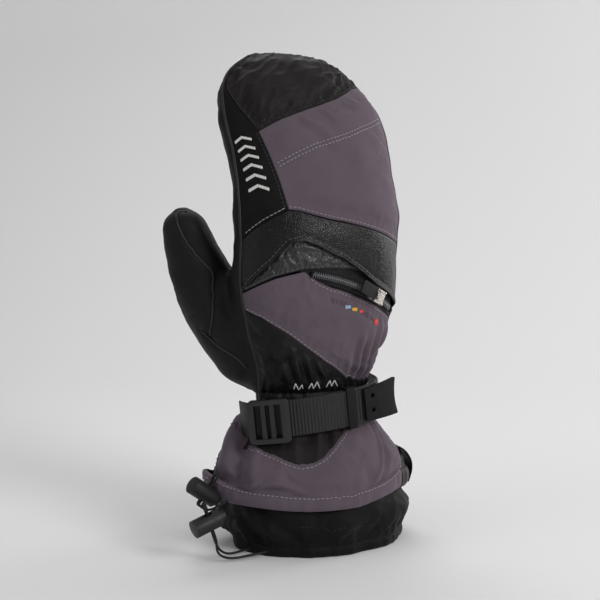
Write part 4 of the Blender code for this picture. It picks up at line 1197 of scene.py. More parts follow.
def locate(points):
    """Distance from the side seams (positive on the palm) and height above the hand form."""
    index = np.array([MAP_TREE.find(p)[1] for p in points])
    station = MAP_STATIONS[index // len(MAP_ANGLES)]
    angle = MAP_ANGLES[index % len(MAP_ANGLES)]
    normals = hand_normal(station, angle)
    offset = points - HAND_MAP[index]
    height = (offset * normals).sum(1)
    around = hand(station, angle + .5) - hand(station, angle - .5)
    per_degree = np.linalg.norm(around, axis=1)
    rest = offset - normals * height[:, None]
    angle = angle + np.clip((rest * around).sum(1) / np.maximum(per_degree ** 2, 1e-6), -1, 1)
    back = (angle > LITTLE_PIPING) & (angle < THUMB_PIPING)
    inside = np.minimum(angle - LITTLE_PIPING, THUMB_PIPING - angle) * per_degree
    palm_side = np.where(angle >= THUMB_PIPING,
                         np.minimum(angle - THUMB_PIPING, 360 + LITTLE_PIPING - angle),
                         LITTLE_PIPING - angle) * per_degree
    return np.where(back, -inside, palm_side), height


def puff_palm(skin):
    """Cloth simulation of the joined palm and thumb, held at its seams and at the wrist."""
    points = get_vectors(skin) / MM
    seam, height = locate(points)
    hold = np.clip(1 - (seam - 2) / 9, .10, 1)
    hold = np.where(height > 4, np.minimum(hold, .12), hold)
    hold = np.maximum(hold, np.clip(1 - (points[:, 2] - 112) / 10, 0, 1) * .8)
    sim = skin.copy()
    sim.data = skin.data.copy()
    bpy.context.scene.collection.objects.link(sim)
    set_coords(sim, points * SIM_SCALE)
    moves = run_cloth(sim, hold, pressure=1.2, grow=.022, frames=16, quality=5,
                      stiffness=7, shear=4, bending=.4) - points
    edges = np.zeros(len(skin.data.edges) * 2, np.int32)
    skin.data.edges.foreach_get("vertices", edges)
    edges = edges.reshape(-1, 2)
    count = np.bincount(edges.ravel(), minlength=len(points))[:, None].clip(1)
    for _ in range(5):
        near = np.zeros_like(moves)
        np.add.at(near, edges[:, 0], moves[edges[:, 1]])
        np.add.at(near, edges[:, 1], moves[edges[:, 0]])
        moves = .45 * moves + .55 * near / count
    normals = get_vectors(skin, "normal")
    outward = normals * (moves * normals).sum(1, keepdims=True)
    moves = outward + (moves - outward) * .25
    set_coords(skin, points + limit_length(moves, 3.0))


def palm_skin():
    """Shaped palm and thumb in one: rows of x, y, z, height above the hand form; and faces."""
    skin = remesh("union", [grid_mesh("round_hand", round_hand(), wrap=True, caps=True),
                            grid_mesh("round_thumb", thumb_grid(), wrap=True, caps=True)])
    puff_palm(skin)
    add_modifier(skin, "fine", "SUBSURF", levels=1, render_levels=1)
    apply_modifiers(skin)
    points = get_vectors(skin) / MM
    normals = get_vectors(skin, "normal")
    seam, height = locate(points)
    on_hand = np.clip(1 - (height - 1.2) / 2, 0, 1)
    points = points + normals * (hand_unevenness(points) * on_hand
                                 + .10 * ridged(Waves(41, 12)(points))
                                 + .22 * BODY_MID(points))[:, None]
    # the base of the thumb bulges down and out near the wrist
    middle, reach = np.array([-44, 14, 119]), np.array([13, 18, 10])
    lobe = bell(np.linalg.norm((points - middle) / reach, axis=1), 1)
    points = points + lobe[:, None] * np.array([-5.4, 2.4, -2.0])
    dip = np.where(seam < 1.6, (1 - np.clip(seam / 1.6, 0, 1)) ** 2 * .9
                   + np.clip(-seam, 0, 3) * .9, 0) * on_hand
    points = points - normals * dip[:, None]
    for line, width, depth in GROOVES:
        away, _ = nearest_on(points, line)
        points = points - normals * (depth * bell(away, width))[:, None]
    faces = [list(polygon.vertices) for polygon in skin.data.polygons]
    field = np.minimum(np.maximum(seam + 1.8, height - 1.5), points[:, 2] - 105.5)
    rows, faces = clip(np.column_stack([points, height]), faces, field)
    bpy.data.objects.remove(skin, do_unlink=True)
    return rows, faces


def add_skirt(obj):
    """Turns the cut edge down into the palm so that no gap opens when the thumb moves."""
    inner, depth = np.array([-40, 20, 150]), 4.0
    with editing(obj.data) as bm:
        bmesh.ops.remove_doubles(bm, verts=bm.verts, dist=.05 * MM)
        edges = [e for e in bm.edges if e.is_boundary]
        made = bmesh.ops.extrude_edge_only(bm, edges=edges)
        for item in made["geom"]:
            if isinstance(item, bmesh.types.BMVert):
                item.co += Vector(unit(inner - np.array(item.co) / MM)) * depth * MM
    obj.data.shade_smooth()


def palm_and_thumb(rows, faces):
    """Cuts the skin at the thumb's base into two pieces."""
    base = np.array([-57.0, 30.0, 166.5])
    axis = unit(np.array([-7.5, 2.0, 15.0]))
    points, height = rows[:, :3], rows[:, 3]
    beyond = (points - base) @ axis
    aside = np.linalg.norm((points - base) - beyond[:, None] * axis, axis=1)
    field = np.minimum(beyond, np.minimum(height - .9, 40 - aside))
    palm = mesh_object("palm_leather_shell", *clip(points, faces, -field), PALM_LEATHER)
    thumb = mesh_object("thumb_leather_shell", *clip(points, faces, field), PALM_LEATHER)
    add_skirt(thumb)
    for obj in (palm, thumb):
        tidy(obj)
        obj.data.shade_smooth()
    thicken(palm, 1.0)
    return palm, thumb


def thumb_welts(rows, faces):
    """Fine welts in the thumb's seams."""
    tree = BVHTree.FromPolygons([tuple(v) for v in rows[:, :3]], [tuple(f) for f in faces])
    welts = []
    for name, line in (("thumb_inner_seam_welt", GROOVES[0][0] + GROOVES[1][0][2:]),
                       ("thumb_base_seam_welt", GROOVES[2][0])):
        path = []
        for place in resample(smooth_line(resample(line, 3), 3), 1.5):
            spot, normal = tree.find_nearest(Vector(place))[:2]
            path.append(np.array(spot) + np.array(normal) * (.15 if normal.y < 0 else -.15))
        welts.append(tube_mesh(name, smooth_line(path, 6), .72, 8, PIPING))
    return welts


def side_piping(name, angle):
    """Piping in a side seam, from the wrist to the tip."""
    station = np.concatenate([np.linspace(-.55, 11.5, 260), np.linspace(11.55, 12.7, 30)])
    angle = np.full(station.shape, float(angle))
    path = hand(station, angle, .15)
    path = path + hand_normal(station, angle) * hand_unevenness(path)[:, None]
    return tube_mesh(name, resample(path, 1.2), 1.0, 10, PIPING)


skin_rows, skin_faces = palm_skin()
palm, thumb = palm_and_thumb(skin_rows, skin_faces)
welts = thumb_welts(skin_rows, skin_faces)
thumb_piping = side_piping("thumb_side_piping_cord", THUMB_PIPING)
little_piping = side_piping("little_finger_piping_cord", LITTLE_PIPING)

# ------------------------------------------------------------------ zip pocket
# the coil follows the circle through three points just above the hand form
ZIP_START = hand(3.72, 100, -.9)
TO_MIDDLE = hand(3.2, 68, -.9) - ZIP_START
TO_END = hand(2.6, 36, -.9) - ZIP_START
ZIP_CROSS = np.cross(TO_MIDDLE, TO_END)
ZIP_CENTRE = ZIP_START + (
    np.cross(ZIP_CROSS, TO_MIDDLE) * (TO_END @ TO_END)
    + np.cross(TO_END, ZIP_CROSS) * (TO_MIDDLE @ TO_MIDDLE)) / (2 * (ZIP_CROSS @ ZIP_CROSS))
ZIP_RADIUS = np.linalg.norm(ZIP_START - ZIP_CENTRE)
ZIP_AXIS = unit(ZIP_CROSS)
ZIP_FIRST = (ZIP_START - ZIP_CENTRE) / ZIP_RADIUS
ZIP_SECOND = np.cross(ZIP_AXIS, ZIP_FIRST)
ZIP_LEAN = math.radians(24.5)       # lean of the tape towards the circle's radius
TOOTH_PITCH = 1.5


def zip_at(degrees):
    """Point on the zip with its directions: along, across and up from the tape."""
    turn = np.radians(np.asarray(degrees, float))[..., None]
    outward = np.cos(turn) * ZIP_FIRST + np.sin(turn) * ZIP_SECOND
    tangent = -np.sin(turn) * ZIP_FIRST + np.cos(turn) * ZIP_SECOND
    return (ZIP_CENTRE + ZIP_RADIUS * outward, tangent,
            math.sin(ZIP_LEAN) * outward + math.cos(ZIP_LEAN) * ZIP_AXIS,
            math.cos(ZIP_LEAN) * outward - math.sin(ZIP_LEAN) * ZIP_AXIS)


def zip_tape():
    """Two woven edges that dive under both lips of the pocket."""
    sheet = hand_sheet("zip_pocket_tape", lambda angle: POCKET_SEAM(angle) - .16,
                       lambda angle: np.maximum(FLAP_SEAM(angle), WEDGE_SEAM(angle)) + .12,
                       17.5, 112.0, 1.1)
    sheet.push(-1.9)
    middles, tangents, acrosses, ups = zip_at(np.linspace(-6, 54, 121))
    tree = KDTree(len(middles))
    for i, middle in enumerate(middles):
        tree.insert(middle, i)
    tree.balance()
    points = sheet.points.reshape(-1, 3).copy()
    for j, start in enumerate(points.copy()):
        i = tree.find(start)[1]
        offset = start - middles[i]
        across, up = offset @ acrosses[i], offset @ ups[i]
        if abs(across) < 9 and abs(offset @ tangents[i]) < 6:
            # flat beneath the coil, with a low ridge beside it
            lift = (-1.7 - up) * bell(across, 5.0, 4) + .18 * bell(abs(across) - 2.9, .5)
            points[j] = start + ups[i] * lift
    sheet.points = points.reshape(sheet.points.shape)
    return sheet.build(ZIP_TAPE, thick=.5)


def zip_teeth():
    """Two interlocking rows of small moulded hooks."""
    teeth = []
    pitch = TOOTH_PITCH / ZIP_RADIUS * 180 / math.pi
    degrees = -3.0
    while degrees < 51:
        middle, _, across, up = zip_at(degrees)
        side = 1 if len(teeth) // 2 % 2 else -1
        teeth.append([middle + across * side * 1.75 - up * .35,
                      middle - across * side * .55 + up * .25])
        teeth.append([middle + across * side * 1.85 - up * 1.0,
                      middle + across * side * 1.55 + up * .15])
        degrees += pitch / 2
    return capsules("zip_coil_teeth", teeth, .33, COIL)


def zip_core():
    middle, _, _, up = zip_at(np.linspace(-3, 51, 90))
    return tube_mesh("zip_coil_core", middle - up * 1.05, .42, 8, COIL_CORE)


def zip_stitching():
    ends = []
    for side in (-4.2, 4.2):
        for degrees in np.arange(-2, 50, 2.1):
            pair = (zip_at(degrees), zip_at(degrees + 1.45))
            ends.append([middle + across * side - up * 1.35 for middle, _, across, up in pair])
    return capsules("zip_tape_stitching", ends, .16, DARK_THREAD)


tape = zip_tape()
coil = zip_teeth()
for obj in (tape, coil, zip_core(), zip_stitching()):
    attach(obj, "hand")


# ------------------------------------------------------------------ hard parts
def scale_about_middle(bm, factor):
    coords = np.array([v.co for v in bm.verts])
    middle = Vector((coords.max(0) + coords.min(0)) / 2)
    for v in bm.verts:
        v.co = middle + (v.co - middle) * factor


def shape_outline(bm, corner, flare):
    """Rounds the four outer corners of a plate and hollows its +X end."""
    coords = np.array([v.co for v in bm.verts])
    middle = coords.mean(0)
    normal = Vector(np.linalg.svd(coords - middle)[2][2])
    width_axis = Vector((0, 0, 0))
    for edge in bm.edges:
        run = edge.verts[1].co - edge.verts[0].co
        if abs(run.z) > .8 * run.length and run.length > .008:
            width_axis += run if run.z > 0 else -run
    width_axis.normalize()
    length_axis = width_axis.cross(normal).normalized()
    normal = length_axis.cross(width_axis).normalized()
    if length_axis.x < 0:
        length_axis = -length_axis
    middle = Vector(middle)

    def lengthwise(v):
        return (v.co - middle).dot(length_axis)

    def widthwise(v):
        return (v.co - middle).dot(width_axis)

    def lies_along(edge, axis, least):
        run = edge.verts[1].co - edge.verts[0].co
        return abs(run.normalized().dot(axis)) > least

    high = max(lengthwise(v) for v in bm.verts)
    low = min(lengthwise(v) for v in bm.verts)
    wide = max(abs(widthwise(v)) for v in bm.verts)
    if flare:
        end = high - .15 * (high - low)
        across = [e for e in bm.edges if lies_along(e, width_axis, .9)
                  and min(lengthwise(v) for v in e.verts) > end]
        bmesh.ops.subdivide_edges(bm, edges=across, cuts=9)
        for v in bm.verts:
            if lengthwise(v) > end:
                v.co -= length_axis * flare * (1 - min(1, (widthwise(v) / wide) ** 2))
    margin = .12 * (high - low)

    def at_corner(v):
        at_end = lengthwise(v) > high - margin or lengthwise(v) < low + margin
        return at_end and abs(widthwise(v)) > .86 * wide

    posts = [e for e in bm.edges if lies_along(e, normal, .8) and all(map(at_corner, e.verts))]
    bmesh.ops.bevel(bm, geom=posts, offset=corner, segments=5, profile=.5, affect="EDGES",
                    clamp_overlap=True)


def refine(node, name, material, body, bevel=0.0, subdivisions=0, corner=0.0, flare=0.0,
           grow=1.0):
    """A finished copy of a CAD part: flat faces merged and edges rounded, or subdivided."""
    source = frame["nodes"][node]
    if isinstance(source, str):     # a node is given as an object or as its name
        source = bpy.data.objects[source]
    mesh = source.data.copy()
    obj = add_object(name, mesh)
    mesh.transform(Matrix.Translation(-FORM_CENTRE) @ source.matrix_world)
    mesh.materials.clear()
    mesh.materials.append(material)
    with editing(mesh) as bm:
        bmesh.ops.remove_doubles(bm, verts=bm.verts, dist=.01 * MM)
        if not subdivisions:
            bmesh.ops.dissolve_limit(bm, angle_limit=math.radians(3), verts=bm.verts,
                                     edges=bm.edges)
        if grow != 1:
            scale_about_middle(bm, grow)
        if corner:
            shape_outline(bm, corner * MM, flare * MM)
    for polygon in mesh.polygons:
        polygon.material_index = 0
    if bevel:
        add_modifier(obj, "bevel", "BEVEL", width=bevel * MM, segments=3, limit_method="ANGLE",
                     angle_limit=math.radians(32), use_clamp_overlap=True)
    if subdivisions:
        add_modifier(obj, "fine", "SUBSURF", levels=subdivisions, render_levels=subdivisions)
    apply_modifiers(obj)
    obj.data.shade_smooth()
    with editing(obj.data) as bm:
        for edge in bm.edges:
            if len(edge.link_faces) == 2 and edge.calc_face_angle(0) > math.radians(38):
                edge.smooth = False
    obj.data.update()
    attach(obj, body)
    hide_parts(node)


def slider_crown():
    """Bevelled bars on top of the zip slider."""
    middle = np.array([30.18, -39.25, 173.1])
    axes = np.array([(.84, .33, -.43), (.43, .08, .9), (.33, -.94, -.07)])
    # centre and half sizes, both along the slider's axes
    bars = [((1.9, -.6, 2.9), (4.4, 4.7, .75)), ((1.2, -.6, 4.5), (3.3, 1.5, .55)),
            ((-1.6, -.6, 3.9), (.6, 1.5, 1.0)), ((4.2, -.6, 3.9), (.6, 1.5, 1.0)),
            ((5.4, 3.4, 3.4), (.8, .6, .9)), ((5.4, -4.6, 3.4), (.8, .6, .9))]
    mesh = bpy.data.meshes.new("zip_slider_crown")
    with editing(mesh) as bm:
        for centre, half in bars:
            for v in bmesh.ops.create_cube(bm, size=2)["verts"]:
                place = np.array(centre) + np.array(half) * np.array(v.co)
                v.co = Vector(middle + place @ axes) * MM
        bmesh.ops.recalc_face_normals(bm, faces=bm.faces)
    mesh.materials.append(SLIDER_METAL)
    obj = add_object("zip_slider_crown", mesh)
    add_modifier(obj, "bevel", "BEVEL", width=.28 * MM, segments=3)
    apply_modifiers(obj)
    obj.data.shade_smooth()
    obj.data.set_sharp_from_angle(angle=math.radians(40))
    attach(obj, "zip_slider")


refine("zipper_slider", "zip_slider_body", SLIDER_METAL, "zip_slider", bevel=.3, grow=1.3)
refine("zipper_pull", "zip_pull_plate", PULL_RUBBER, "zip_pull", bevel=.45)
refine("zipper_top_stop", "zip_top_stop", COIL_CORE, "hand", bevel=.2)
refine("zipper_bottom_stop", "zip_bottom_stop", COIL_CORE, "hand", bevel=.2)
slider_crown()


# ------------------------------------------------------------------ wrist sleeve and linings
def ring(z, half, depth, mid_x, count, pleat, length, seed):
    """Oval ring with pleats of a height and length."""
    turn = np.arange(count) * 2 * np.pi / count
    x = turn * (half + depth) / 2
    pleats = pleat * (ripple(x, length, 1.5 * np.sin(x / 11 + seed))
                      * (.7 + .3 * np.sin(x / 9 + seed)))
    return np.stack([mid_x + (half + pleats) * np.cos(turn), -(depth + pleats) * np.sin(turn),
                     np.full(count, float(z))], -1)


def wrist_sleeve():
    half = profile([(85, 41), (92, 38.2), (97, 37.2), (104, 38), (113, 39.5)])
    depth = profile([(85, 28), (92, 25.5), (97, 24.2), (104, 24.2), (113, 24.8)])
    rings = [ring(z, half(z), depth(z), 0, 240, .75 * bell(z - 97, 10) + .15, 6.2, 1)
             for z in np.linspace(85, 113, 34)]
    obj = grid_mesh("wrist_gathered_sleeve", np.array(rings), WRIST_NYLON, wrap=True)
    thicken(obj, .8)
    return obj


def make_cuff_lining():
    half = profile([(0, 56), (10, 58), (25, 58.5), (45, 53), (60, 48), (75, 42), (88, 37),
                    (96, 35.5)])
    depth = profile([(0, 43), (10, 44.5), (25, 44.5), (45, 40), (60, 36), (75, 30), (88, 24),
                     (96, 22.8)])
    mid_x = profile([(0, 6), (25, 6), (45, 1), (60, 0), (96, 0)])
    rings = [ring(z, half(z), depth(z), mid_x(z), 260, .35 + .5 * bell(z - 92, 12), 13, 2)
             for z in np.concatenate([np.linspace(2.2, 50, 40), np.linspace(52, 95, 36)])]
    obj = grid_mesh("cuff_lining", np.array(rings), FLEECE, wrap=True)
    thicken(obj, .8)
    return obj


def hand_lining():
    """Bag inside the hand, closed at the fingertips."""
    station, angle = np.linspace(-.6, 9.6, 80)[:, None], (np.arange(120) * 3.0)[None, :]
    points = hand(station, angle, 9.3)
    points = points + (BODY_MID(points) * .35)[..., None] * hand_normal(station, angle)
    obj = grid_mesh("hand_lining_bag", points, FLEECE, wrap=True)
    with editing(obj.data) as bm:
        top = [e for e in bm.edges if e.is_boundary and e.verts[0].co.z > .15]
        bmesh.ops.holes_fill(bm, edges=top, sides=0)
    obj.data.shade_smooth()
    return obj


sleeve = wrist_sleeve()
cuff_lining = make_cuff_lining()
lining = hand_lining()

# ------------------------------------------------------------------ gauntlet
# Folds of the back: (z, angle) at both ends, width, height
CURVED_CREASES = (
    ((88, 41.5), (44, 69.5), 1.5, 2.4), ((88, 37), (44, 63.5), 3.2, -2.0),
    ((92, 170), (47, 156), 3.6, -3.4), ((90, 163), (50, 149), 3.0, 2.0))
GAUNTLET_FOLDS = (
    ((90, 35), (46, 57), 5.5, -.8), ((86, 60), (52, 78), 6, -1.3),
    ((93, 166), (45, 152), 4.6, -6.2), ((88, 180), (54, 172), 6.5, 3.0),
    ((82, 156), (48, 141), 3.4, 2.3), ((48.0, 146), (52.5, 126), 2.6, 3.4),
    ((53, 130), (46, 112), 2.6, 3.0), ((45.5, 150), (47.5, 120), 2.2, -2.6),
    ((50.5, 196), (49.5, 158), 3.6, -4.4))


def gauntlet_folds(points):
    total = folds(points, on_gauntlet, GAUNTLET_FOLDS)
    for start, end, width, height in CURVED_CREASES:
        total = total + fold(points, on_gauntlet(*np.linspace(start, end, 9).T), width, height)
    angle = np.degrees(np.arctan2(-points[..., 1] / 1.35, points[..., 0])) % 360
    return total + 5.0 * bell(angle - 186, 17) * bell(points[..., 2] - 83, 13)


def above_hem(angle):
    return HEM_TOP(angle) - 1.4


def make_gauntlet_back():
    """Softshell back, cut out along the edge of the inset."""
    sheet = cuff_sheet("gauntlet_back_softshell", GAUNTLET,
                       (above_hem, 97.5, SIDE_SEAM, 200.5), 1.25)
    rest, z, angle = sheet.rest, sheet.rest[..., 2], sheet.angle
    sheet.push(cuff_unevenness(rest))
    above_edge = z - INSET_EDGE(angle)
    by_inset = (angle > 66) & (angle < 164)
    near = np.abs(above_edge) * by_inset + 99 * ~by_inset
    hold = np.maximum(edge_hold(sheet, 9, .14), .8 * bell(near, 5))
    puff(sheet, hold, pressure=1.6, grow=.03, limit=3.0)
    sheet.push(gauntlet_folds(rest))
    turn = np.radians(angle)
    sheet.push(decay(np.clip(96 - z, 0, None), 9)
               * (.9 * np.sin(turn * 34 + 2 * np.sin(turn * 7)) + .4 * np.sin(turn * 71)))
    # distance inside the inset, square to its edge; about .95 mm to a degree
    samples = np.linspace(60, 170, 300)
    slope = np.interp(angle, samples, np.abs(np.gradient(INSET_EDGE(samples), samples)))
    square = above_edge / np.sqrt(1 + (slope / .95) ** 2)
    from_sides = np.minimum(angle - 70.5, 160.5 - angle) * .85
    depth = np.where(z > 60, np.minimum(square, from_sides), -9)
    sheet.push(-1.7 * np.clip(depth / .8 + .5, 0, 1) + .35 * bell(depth + 2.2, 1.6)
               - .25 * bell(depth + 1.6, .5))
    sheet.roll(.8, ("left", "right", "low"))
    rows = np.column_stack([sheet.points.reshape(-1, 3), sheet.uv()])
    quads = facing_quads(sheet.points, sheet.normals)
    rows, faces = clip(rows, quads, -(depth.ravel() - .8))
    obj = mesh_object(sheet.name, rows[:, :3], faces, CUFF_SHELL, rows[:, 3:])
    tidy(obj)
    thicken(obj, .9)
    return obj


def gauntlet_inset():
    """Plain nylon at the top of the back, under the edge of the softshell."""
    sheet = cuff_sheet("gauntlet_inset_nylon", GAUNTLET,
                       (lambda angle: INSET_EDGE(angle) - 3.2, 97.0, 67.0, 164.0), 1.2)
    rest = sheet.rest
    sheet.push(cuff_unevenness(rest) + gauntlet_folds(rest) * .55 - .85)
    sheet.push(folds(rest, on_gauntlet, (
        ((92, 96), (62, 104), 2.6, 1.6), ((92, 90), (66, 95), 2.4, -1.5),
        ((92, 84), (72, 88), 2.2, 1.3), ((90, 108), (62, 112), 3.2, -1.2),
        ((92, 122), (70, 120), 3.4, 1.0))) * np.clip(sheet.low / 6, 0, 1))
    turn = np.radians(sheet.angle)
    fade = np.clip(sheet.low / 5, 0, 1)
    sheet.push(decay(np.clip(97 - rest[..., 2], 0, None), 14)
               * (1.0 * ridged(np.sin(turn * 19 + 2 * np.sin(turn * 5)))
                  + .35 * np.sin(turn * 53)) * fade)
    sheet.push(.35 * ridged(Waves(53, 14)(rest)) * fade)
    return sheet.build(NYLON, thick=.7)


def gauntlet_palm():
    """Palm side of the gauntlet."""
    sheet = cuff_sheet("gauntlet_palm_nylon", GAUNTLET,
                       (above_hem, 97.5, 200.2, lambda z: SIDE_SEAM(z) + 360.3), 1.5)
    sheet.push(cuff_unevenness(sheet.rest))
    puff(sheet, edge_hold(sheet, 9, .14), pressure=1.8, grow=.04, limit=3.5)
    turn = np.radians(sheet.angle)
    sheet.push(decay(np.clip(97 - sheet.rest[..., 2], 0, None), 13)
               * (1.1 * np.sin(turn * 27 + 2 * np.sin(turn * 6)) + .4 * np.sin(turn * 61)))
    sheet.push(.5 * ridged(Waves(54, 22)(sheet.rest)) * np.clip(sheet.edge / 8, 0, 1))
    sheet.roll(.8, ("left", "right", "low"))
    return sheet.build(WRIST_NYLON, thick=.9)


def base_and_outward(form, z, angle):
    base = cuff(form, z, angle)
    return base, unit(cuff(form, z, angle, -1) - base)


def hem(name, start, end, material):
    """Rolled hem round the drawcord: a soft C-shaped band, open to the inside."""
    angle = np.arange(start, end + .01, 1.15)
    turn = np.radians(angle)
    top, low = HEM_TOP(angle) - .2, HEM_LOW(angle)
    middle, half = (top + low) / 2, (top - low) / 2
    base, outward = base_and_outward(GAUNTLET, np.clip(middle, 29, 97), angle)
    lump = .45 * CUFF_MID(base) + .25 * np.sin(turn * 41 + 2 * np.sin(turn * 9))
    thumb_side = 1.3 * bell(angle - 182, 16)
    opening = bell(angle - 184, 20, 4)      # the hem stands open at the thumb side
    unevenness = .35 * CUFF_SOFT(base * np.array([1, 1, 0]))
    rows = []
    # from the seam on top, over the outside, under, to the inside
    for degrees in np.linspace(100, -150, 26):
        cos, sin = math.cos(math.radians(degrees)), math.sin(math.radians(degrees))
        bulge = 3.0 * (abs(cos) ** .65) * np.sign(cos)
        push = bulge - 1.4 + (lump + thumb_side) * max(cos, 0) + opening * 3.2 * max(sin + .25, 0)
        points = base + outward * push[..., None]
        points[..., 2] = middle + half * sin + opening * 3.0 * max(sin + .2, 0) + unevenness
        rows.append(points)
    obj = grid_mesh(name, np.array(rows), material)
    thicken(obj, .9, 0)
    return obj


gauntlet_back = make_gauntlet_back()
inset = gauntlet_inset()
palm_gauntlet = gauntlet_palm()
hem_front = hem("gauntlet_hem_softshell", 40, 207, CUFF_SHELL)
hem_back = hem("gauntlet_hem_nylon", 206, 401, WRIST_NYLON)

# ------------------------------------------------------------------ snow gaiter
GAITER_SOFT = Waves(61, 40, stretch=(1, 1, 1.6))


def gaiter_gathers(angle):
    turn = np.radians(angle)
    return .28 * np.sin(turn * 31 + 2 * np.sin(turn * 7)) + .12 * np.sin(turn * 67)


def snow_gaiter():
    sheet = cuff_sheet("snow_gaiter_cloth", GAITER, (5.5, 56, 0, 360), 1.5, closed=True)
    rest, z, angle = sheet.rest, sheet.rest[..., 2], sheet.angle
    sheet.push(1.3 * GAITER_SOFT(rest))
    puff(sheet, edge_hold(sheet, 10, .12), pressure=1.4, grow=.05, limit=4.0)
    sheet.push(.45 * ridged(Waves(62, 18)(rest)) + folds(rest, on_gaiter, (
        ((30, 150), (9, 128), 4.2, 2.6), ((30, 140), (10, 118), 4.0, -2.2),
        ((26, 172), (8, 158), 3.5, 1.8), ((24, 162), (7, 146), 3.0, -1.7),
        ((22, 112), (16, 84), 3.2, .8), ((28, 40), (8, 30), 5, 1.2))))
    sheet.push(8.5 * bell(angle - 199, 17) * bell(z - 17, 9.5)
               - 2.5 * bell(angle - 186, 7) * bell(z - 26, 12))
    sheet.push(decay(sheet.low, 7) * gaiter_gathers(angle))
    sheet.points[..., 2] = np.maximum(sheet.points[..., 2], 4.6)
    return sheet.build(GAITER_NYLON)


def gaiter_hem():
    """Rolled band at the gaiter's lower edge, resting just above z = 0."""
    angle = np.arange(0, 360, 1.2)
    base, outward = base_and_outward(GAITER, np.full(angle.shape, 4.0), angle)
    lump = gaiter_gathers(angle) + 1.3 * GAITER_SOFT(base)
    rows = []
    for degrees in np.linspace(95, -170, 20):
        cos, sin = math.cos(math.radians(degrees)), math.sin(math.radians(degrees))
        push = 2.2 * abs(cos) ** .7 * np.sign(cos) - 1.2 + lump * (.5 + .5 * max(cos, 0))
        points = base + outward * push[..., None]
        waves = .25 * np.sin(np.radians(angle) * 46 + 2) * max(sin, 0)
        points[..., 2] = np.maximum(4.0 + 3.9 * sin + waves, .25)
        rows.append(points)
    obj = grid_mesh("gaiter_hem_band", np.array(rows), GAITER_NYLON, wrap=True)
    thicken(obj, .8, 0)
    return obj


gaiter = snow_gaiter()
gaiter_band = gaiter_hem()

# ------------------------------------------------------------------ strap, locks and cords
STRAP_TILT = math.radians(6)
STRAP_ORIGIN = Vector((3.4, 59.0, 96.33))
STRAP_RADIUS = 97.5
STRAP_FRAME = Matrix(((math.cos(STRAP_TILT), 0, -math.sin(STRAP_TILT), 0), (0, 1, 0, 0),
                      (math.sin(STRAP_TILT), 0, math.cos(STRAP_TILT), 0), (0, 0, 0, 1)))
STRAP_FRAME.translation = STRAP_ORIGIN
STRAP_TURN = np.array(STRAP_FRAME.to_3x3())
STRAP_UP = np.array(STRAP_FRAME.to_3x3() @ Vector((0, 0, 1)))


def in_strap(x, y):
    """Point of the strap's own plane, placed on the mitten."""
    return np.array(STRAP_FRAME @ Vector((x, y, 0)))


def track(x, radius):
    turn = math.asin(max(-1, min(1, x / STRAP_RADIUS)))
    return in_strap(radius * math.sin(turn), -radius * math.cos(turn))


def strap_tail():
    places = np.arange(-54.5, 27.01, .28)
    path = np.array([track(x, STRAP_RADIUS - .5 * bell(x + 48, 5, 4)) for x in places])
    normals = np.array([track(x, STRAP_RADIUS + 1) - track(x, STRAP_RADIUS) for x in places])
    return ribbon("strap_tail_webbing", path, normals, STRAP_UP, 12.5, 1.15, WEBBING, rib=.50)


def flat_strap(name, points, side, half, thick, rib):
    """Webbing along a line in the strap's plane; side 1 or -1 turns its normals."""
    path = resample(smooth_line([(x, y, 0) for x, y in points], 2), .33)
    tangents = unit(np.gradient(path, axis=0))
    normals = side * np.stack([tangents[:, 1], -tangents[:, 0], 0 * tangents[:, 0]], -1)
    placed = np.array([in_strap(x, y) for x, y, _ in path])
    return ribbon(name, placed, normals @ STRAP_TURN.T, STRAP_UP, half, thick, WEBBING, rib)


def strap_band():
    """Under the tail across the back, then round the +X side."""
    radius = 95.5
    turns = [math.radians(degrees) for degrees in np.linspace(-28.5, 16.0, 40)[:-1]]
    arc = [(radius * math.sin(turn), -radius * math.cos(turn)) for turn in turns]
    around = [(x - 3.4, y - 59.0) for x, y in (
        (37.0, -29.6), (41.8, -24.2), (44.8, -17), (46.4, -9), (46.8, 0))]
    return flat_strap("strap_band_webbing", arc + around, 1, 12.5, 1.25, .16)


def buckle_anchor():
    points = [(x - 3.4, y - 59.0) for x, y in (
        (-53.6, -7.5), (-53.6, -11.5), (-52.9, -15.5), (-51.7, -18.8), (-50.0, -21.3))]
    return flat_strap("buckle_anchor_strap", points, -1, 12.3, 1.1, .14)


def pull_on_loop():
    path = resample(smooth_line([
        (65.2, -8, 60), (69.5, -8, 57), (73.6, -8, 51), (74.6, -8, 45), (73.2, -8, 39),
        (71.4, -8, 35)]), .33)
    tangents = unit(np.gradient(path, axis=0))
    normals = np.stack([tangents[:, 2], 0 * tangents[:, 0], -tangents[:, 0]], -1)
    return ribbon("pull_on_loop_tape", path, normals, np.array([0, 1.0, 0]), 6.0, 1.2,
                  WRIST_NYLON, rib=.06, rows=20)


for build, node, body in ((strap_tail, "wrist_strap_tail", "strap_tail"),
                          (strap_band, "wrist_strap_band", "gauntlet"),
                          (buckle_anchor, "buckle_anchor_webbing", "gauntlet")):
    obj = build()
    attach(obj, body)
    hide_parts(node)
refine("ladder_lock_buckle", "ladder_lock_frame", BUCKLE, "gauntlet", bevel=.7, corner=3.2)
refine("strap_keeper", "strap_keeper_loop", RUBBER, "keeper", bevel=.45)
refine("strap_pull_tab", "strap_pull_tab_moulding", RUBBER, "pull_tab", bevel=.45, corner=1.4,
       flare=2.4)
for where in ("hem", "gaiter"):
    refine(f"{where}_lock_barrel", f"{where}_lock_body", LOCK, f"{where}_lock", bevel=.7)
    refine(f"{where}_lock_plunger", f"{where}_lock_button", LOCK, f"{where}_plunger", bevel=.5)
for where in ("hem", "gaiter"):
    refine(f"{where}_lock_spring", f"{where}_lock_coil_spring", STEEL, f"{where}_lock",
           subdivisions=2)
